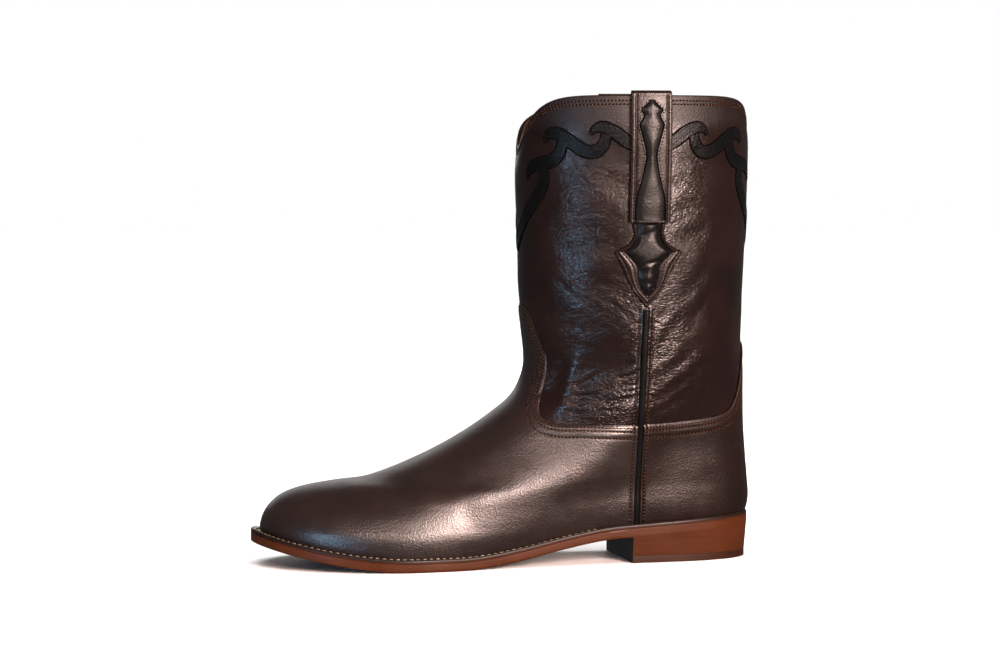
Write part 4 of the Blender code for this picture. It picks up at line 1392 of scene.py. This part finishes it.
def flat_wave(name, wider, low, high):
    """Running wave over half the leg, its strokes joined flat."""
    body, *pieces = [
        flat_stroke(stroke, hand, name, wider, low, high) for hand in (1, -1) for stroke in WAVE
    ]
    for piece in pieces:
        take(body)
        join = body.modifiers.new("join", "BOOLEAN")
        join.operation = "UNION"
        join.solver = "EXACT"
        join.object = piece
        bpy.ops.object.modifier_apply(modifier=join.name)
        bpy.data.objects.remove(piece)
    body.name = name
    return body


def wrap_wave(body, front, finish, *nodes):
    """A flat wave wrapped round the leg."""
    spots = read_points(body) / MM
    out = front * (SCROLL_CENTRE - np.abs(spots[:, 0]))
    points = np.empty(spots.shape)
    for side in (1, -1):
        mine = spots[:, 0] * side >= 0
        points[mine] = wrapped(out[mine], spots[mine, 1], spots[mine, 2], side)
    lay(body, points)
    body.data.materials.clear()
    dress(body, finish)
    work_on(body, turn_out)
    finish_piece(body, "black_leather", *nodes)


def make_scroll(front, word):
    """Black wave let in below the collar, with a near-black border round it, partly the leg's dark
    cut edge and partly painted shade; gives its outlines.
    """
    name = "collar_scroll_" + word
    body = flat_wave(name, 0.0, SCROLL_LOW, SCROLL_HIGH)
    loops = outline_loops(body)
    wrap_wave(body, front, SCROLL_BLACK, name)
    # The border round the wave is near black: partly the cut edge, partly painted shade
    border = flat_wave("scroll_border_" + word, BORDER_WIDE, BORDER_LOW, BORDER_HIGH)
    wrap_wave(border, front, DARK_EDGE_AND_GROOVE_SHADE)
    return loops


# Stitches
def one_stitch():
    """Points and faces of a single stitch, a small grain of thread one unit long."""
    clear_bench()
    bpy.ops.mesh.primitive_uv_sphere_add(segments=6, ring_count=4, radius=0.5)
    grain = bpy.context.object
    work_on(grain, lambda: bpy.ops.transform.rotate(
        value=math.pi / 2, orient_axis="Y", center_override=(0, 0, 0)
    ))
    points = np.array([corner.co for corner in grain.data.vertices])
    faces = [list(face.vertices) for face in grain.data.polygons]
    bpy.data.objects.remove(grain)
    return points, faces


STITCH = one_stitch()
# Size of the near-black grain painted as a needle hole's shade
HOLE_SHAPE = 1.3, 1.1, 0.46
# Stitches of fine black thread, with no holes: pitch, length, width, height
FINE = dict(pitch=2.0, long=1.15, wide=0.8, high=0.7, holes=False)


def even_spots(path, pitch, shift):
    """Places and directions at an even pitch along a path."""
    steps = np.linalg.norm(np.diff(path, axis=0), axis=1)
    lengths = np.insert(np.cumsum(steps), 0, 0)
    count = max(int(lengths[-1] / pitch), 1)
    at = (np.arange(count) + shift) * lengths[-1] / count
    places, ahead, behind = (
        np.stack([np.interp(at + step, lengths, column) for column in path.T], axis=1)
        for step in (0, pitch / 4, -pitch / 4)
    )
    along = ahead - behind
    return places, along / np.maximum(np.linalg.norm(along, axis=1, keepdims=True), 1e-9)


def sew(name, rows, thread, slot, pitch=2.2, long=1.05, wide=0.74, high=0.55, holes=True):
    """Rows of stitches and needle holes as one piece, the holes as near-black grains of painted
    shade. A row is a path and its normals.
    """
    grain, faces = STITCH
    all_points, all_faces, finishes = [], [], []
    grains = [(0.5, (long, wide, high))] + [(0.0, HOLE_SHAPE)] * holes
    for path, normals in rows:
        for shift, shape in grains:
            places, along = even_spots(path, pitch, shift)
            nearest = np.linalg.norm(places[:, None] - path[None], axis=2).argmin(axis=1)
            up = normals[nearest]
            for place, x, y, z in zip(places, along, unit(np.cross(up, along)), up):
                first = len(all_points) * len(grain)
                all_points.append(place + (grain * shape) @ np.stack([x, y, z]))
                all_faces += [[first + k for k in face] for face in faces]
                finishes += [0 if shift else 1] * len(faces)
    mesh = bpy.data.meshes.new(name)
    mesh.from_pydata((np.concatenate(all_points) * MM + SHIFT).tolist(), [], all_faces)
    piece = bpy.data.objects.new(name, mesh)
    dress(piece, thread, NEEDLE_HOLE_SHADE)
    keep_finish(piece, finishes)
    bpy.context.scene.collection.objects.link(piece)
    finish_piece(piece, slot, angle=80)


def row_on_leg(out, z, height, side):
    """A row of stitches on the leg, by its places round from the seam and heights."""
    out, z = np.broadcast_arrays(np.asarray(out, float), np.asarray(z, float))
    return wrapped(out, z, height, side), outward(*leg_spot(out, z, side))


def row_inside_edge(turn, level, inset, downward):
    """A row of stitches at a distance inside an overlay's edge."""
    edge = last_point(turn, level)
    inward = np.cross(outward(turn, level), unit(np.gradient(edge, axis=0))) * downward
    turn, level = nearest_spot(edge + inset * inward, turn, level)
    spot = last_point(turn, level)
    clear = np.linalg.norm(spot[:, None] - edge[None], axis=2).min(axis=1) > 0.93 * inset
    turn, level = turn[clear], level[clear]
    drop = 0.1 + 0.75 * math.exp(-((inset / 1.3) ** 2))
    height = np.maximum(overlay_rise(last_point(turn, level)) - drop, LEAST_RISE)
    return skin(turn, level, height + leg_relief(turn, level)), outward(turn, level)


def collar_row(drop):
    """A row of stitches round the collar, at a distance below its edge."""
    turns = np.linspace(0, 1, 500)
    level = level_at(turns, collar_height(turns) - drop)
    return skin(turns, level, 0.1), outward(turns, level)


def seam_rows(side):
    """Rows either side of the piping, up over the overlays' edge."""
    z = np.linspace(SEAM_ROW_LOW, SPADE_TIP - 2, 200)
    height = np.where(z < SEAM_ROW_STEP, OVERLAY_GAP + OVERLAY + 0.02, 0.06)
    return [row_on_leg(out, z, height, side) for out in (-SEAM_ROW, SEAM_ROW)]


def strap_rows(side):
    """Rows along the strap's edges and round its figure."""
    z = np.linspace(STRAP_LOW + 1, STRAP_BASE - 2, 120)
    out = STRAP_HALF - STRAP_ROW
    rows = [row_on_leg(hand * out, z, STRAP_FACE, side) for hand in (-1, 1)]
    z = np.linspace(STRAP_PIN[0].z + 0.5, STRAP_PIN[-1].z, 240)
    out = pin_half(z) + PIN_ROW
    return rows + [row_on_leg(hand * out, z, STRAP_FACE + 0.1, side) for hand in (1, -1)]


def spade_rows(side):
    """Double row round the spade's rim."""
    outline = spade_outline()
    rim, middle = outline[:, :2], outline[:, 2:]
    places = [(rim + share * (middle - rim)).T for share in SPADE_ROWS]
    return [row_on_leg(*place, GAP + OVERLAY - 0.05, side) for place in places]


def scroll_rows(loops, front):
    """Rows round the outlines of half the scroll, cut where the two sides meet."""
    rows = []
    for loop in loops:
        loop = np.concatenate([loop, loop[:1]])
        for side in (1, -1):
            mine = loop[:, 0] * side >= 0
            for run in np.split(np.arange(len(loop)), np.flatnonzero(np.diff(mine)) + 1):
                if mine[run[0]] and len(run) > 6:
                    out = front * (SCROLL_CENTRE - np.abs(loop[run, 0]))
                    rows.append(row_on_leg(out, loop[run, 1], 0.35, side))
    return rows


def sew_all(overlay_edges, scroll_loops, welt_line):
    """Every row of stitches on the boot."""
    for name, (turn, level), downward in overlay_edges:
        rows = [row_inside_edge(turn, level, inset, downward) for inset in EDGE_ROWS]
        sew(name, rows, RUST_THREAD, "brown_leather")
    rows = [collar_row(drop) for drop in COLLAR_ROWS]
    sew("collar_stitches", rows, RUST_THREAD, "brown_leather")
    sew("seam_stitches", seam_rows(1) + seam_rows(-1), RUST_THREAD, "brown_leather")
    sew("strap_stitches", strap_rows(1) + strap_rows(-1), BLACK_THREAD, "brown_leather", **FINE)
    sew("spade_stitches", spade_rows(1) + spade_rows(-1), BLACK_THREAD, "brown_leather", **FINE)
    rows = [row for loops, front in scroll_loops for row in scroll_rows(loops, front)]
    sew("scroll_stitches", rows, BLACK_THREAD, "black_leather", 1.9, 1.5, 1.0, 0.9, False)
    line = welt_line[WELT_FIRST:-WELT_FIRST] + (0, 0, 0.05)
    up = np.tile((0.0, 0.0, 1.0), (len(line), 1))
    sew("welt_stitches", [(line, up)], PALE_THREAD, "welt_leather", 4.0, 2.6, 0.9, 0.8)


# Boot
make_outsole()
welt_line = make_welt()
make_heel()
make_upper()
vamp_edge = make_overlay(
    "vamp", VAMP_BROWN, VAMP_EDGE, 0.5, PIPE_HALF, VAMP_COLUMNS, 130, 165, 1.25, 1.0
)
counter_edge = make_overlay(
    "counter", COUNTER_BROWN, COUNTER_EDGE, 0.0, -PIPE_HALF, COUNTER_COLUMNS, 100, 120, 1.2, 1.2
)
for hand, word in ((1, "outer"), (-1, "inner")):
    make_piping(hand, word)
    make_strap(hand, word)
    make_pin(hand, word)
    make_spade_rim(hand, word)
    make_spade_inlay(hand, word)
front_loops = make_scroll(1, "front")
back_loops = make_scroll(-1, "back")
sew_all(
    (("vamp_stitches", vamp_edge, 1), ("counter_stitches", counter_edge, -1)),
    ((front_loops, 1), (back_loops, -1)),
    welt_line,
)
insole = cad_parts["insole"]
insole.data.materials.clear()
dress(insole, LINING)


# Floor, light and camera
def make_floor():
    """Plain pale floor with a pale wall far round it, which lights nothing itself."""
    clear_bench()
    bpy.ops.mesh.primitive_circle_add(vertices=96, radius=FLOOR_RADIUS, fill_type="NGON")
    floor = bpy.context.object
    floor.name = "floor"
    paper, _, _ = new_finish("pale_paper", (0.90, 0.90, 0.90), 0.9)
    dress(floor, paper)
    floor.visible_glossy = False
    clear_bench()
    bpy.ops.mesh.primitive_cylinder_add(
        vertices=96, radius=WALL_RADIUS, depth=WALL_HIGH, end_fill_type="NOTHING",
        location=(0, 0, WALL_MIDDLE),
    )
    wall = bpy.context.object
    wall.name = "wall"
    paint, _, shader = new_finish("pale_wall", (0.0, 0.0, 0.0), 1.0, 0.0)
    shader.inputs["Emission Color"].default_value = (1.0, 1.0, 1.0, 1.0)
    shader.inputs["Emission Strength"].default_value = 1.0
    dress(wall, paint)
    wall.visible_diffuse = False
    wall.visible_glossy = False
    wall.visible_shadow = False


def set_up(name, data):
    """Put a lamp or camera in the studio."""
    made = bpy.data.objects.new(name, data)
    bpy.context.scene.collection.objects.link(made)
    return made


def look_along(arrow):
    """Turn that looks along an arrow, upright."""
    return arrow.to_track_quat("-Z", "Y").to_euler()


def make_stage():
    """Floor, soft studio light, and the camera at the photo's view."""
    make_floor()
    scene = bpy.context.scene
    scene.world = scene.world or bpy.data.worlds.new("studio")
    scene.world.use_nodes = True
    sky = scene.world.node_tree.nodes["Background"]
    sky.inputs["Color"].default_value = (0.95, 0.97, 1.0, 1.0)
    sky.inputs["Strength"].default_value = SKY_LIGHT
    scene.view_settings.view_transform = "Standard"
    for lamp in LAMPS:
        light = bpy.data.lights.new(lamp.name, "AREA")
        light.shape = "ELLIPSE"
        light.size = lamp.wide
        light.size_y = lamp.high
        light.energy = lamp.power
        light.color = lamp.colour
        softbox = set_up(lamp.name, light)
        softbox.location = lamp.spot
        softbox.rotation_euler = look_along(LAMP_AIM - Vector(lamp.spot))
    sun = bpy.data.lights.new("overhead", "SUN")
    sun.energy = SUN_LIGHT
    sun.angle = math.radians(SUN_ANGLE)
    set_up("overhead", sun).visible_glossy = False
    view = bpy.data.cameras.new("camera")
    view.lens = LENS
    view.sensor_width = SENSOR
    swing, rise = math.radians(VIEW_SWING), math.radians(VIEW_RISE)
    back = Vector((
        math.sin(swing) * math.cos(rise), -math.cos(swing) * math.cos(rise), math.sin(rise)
    ))
    eye = set_up("camera", view)
    eye.location = VIEW_AIM + back * VIEW_AWAY
    eye.rotation_euler = look_along(-back)
    scene.camera = eye


make_stage()
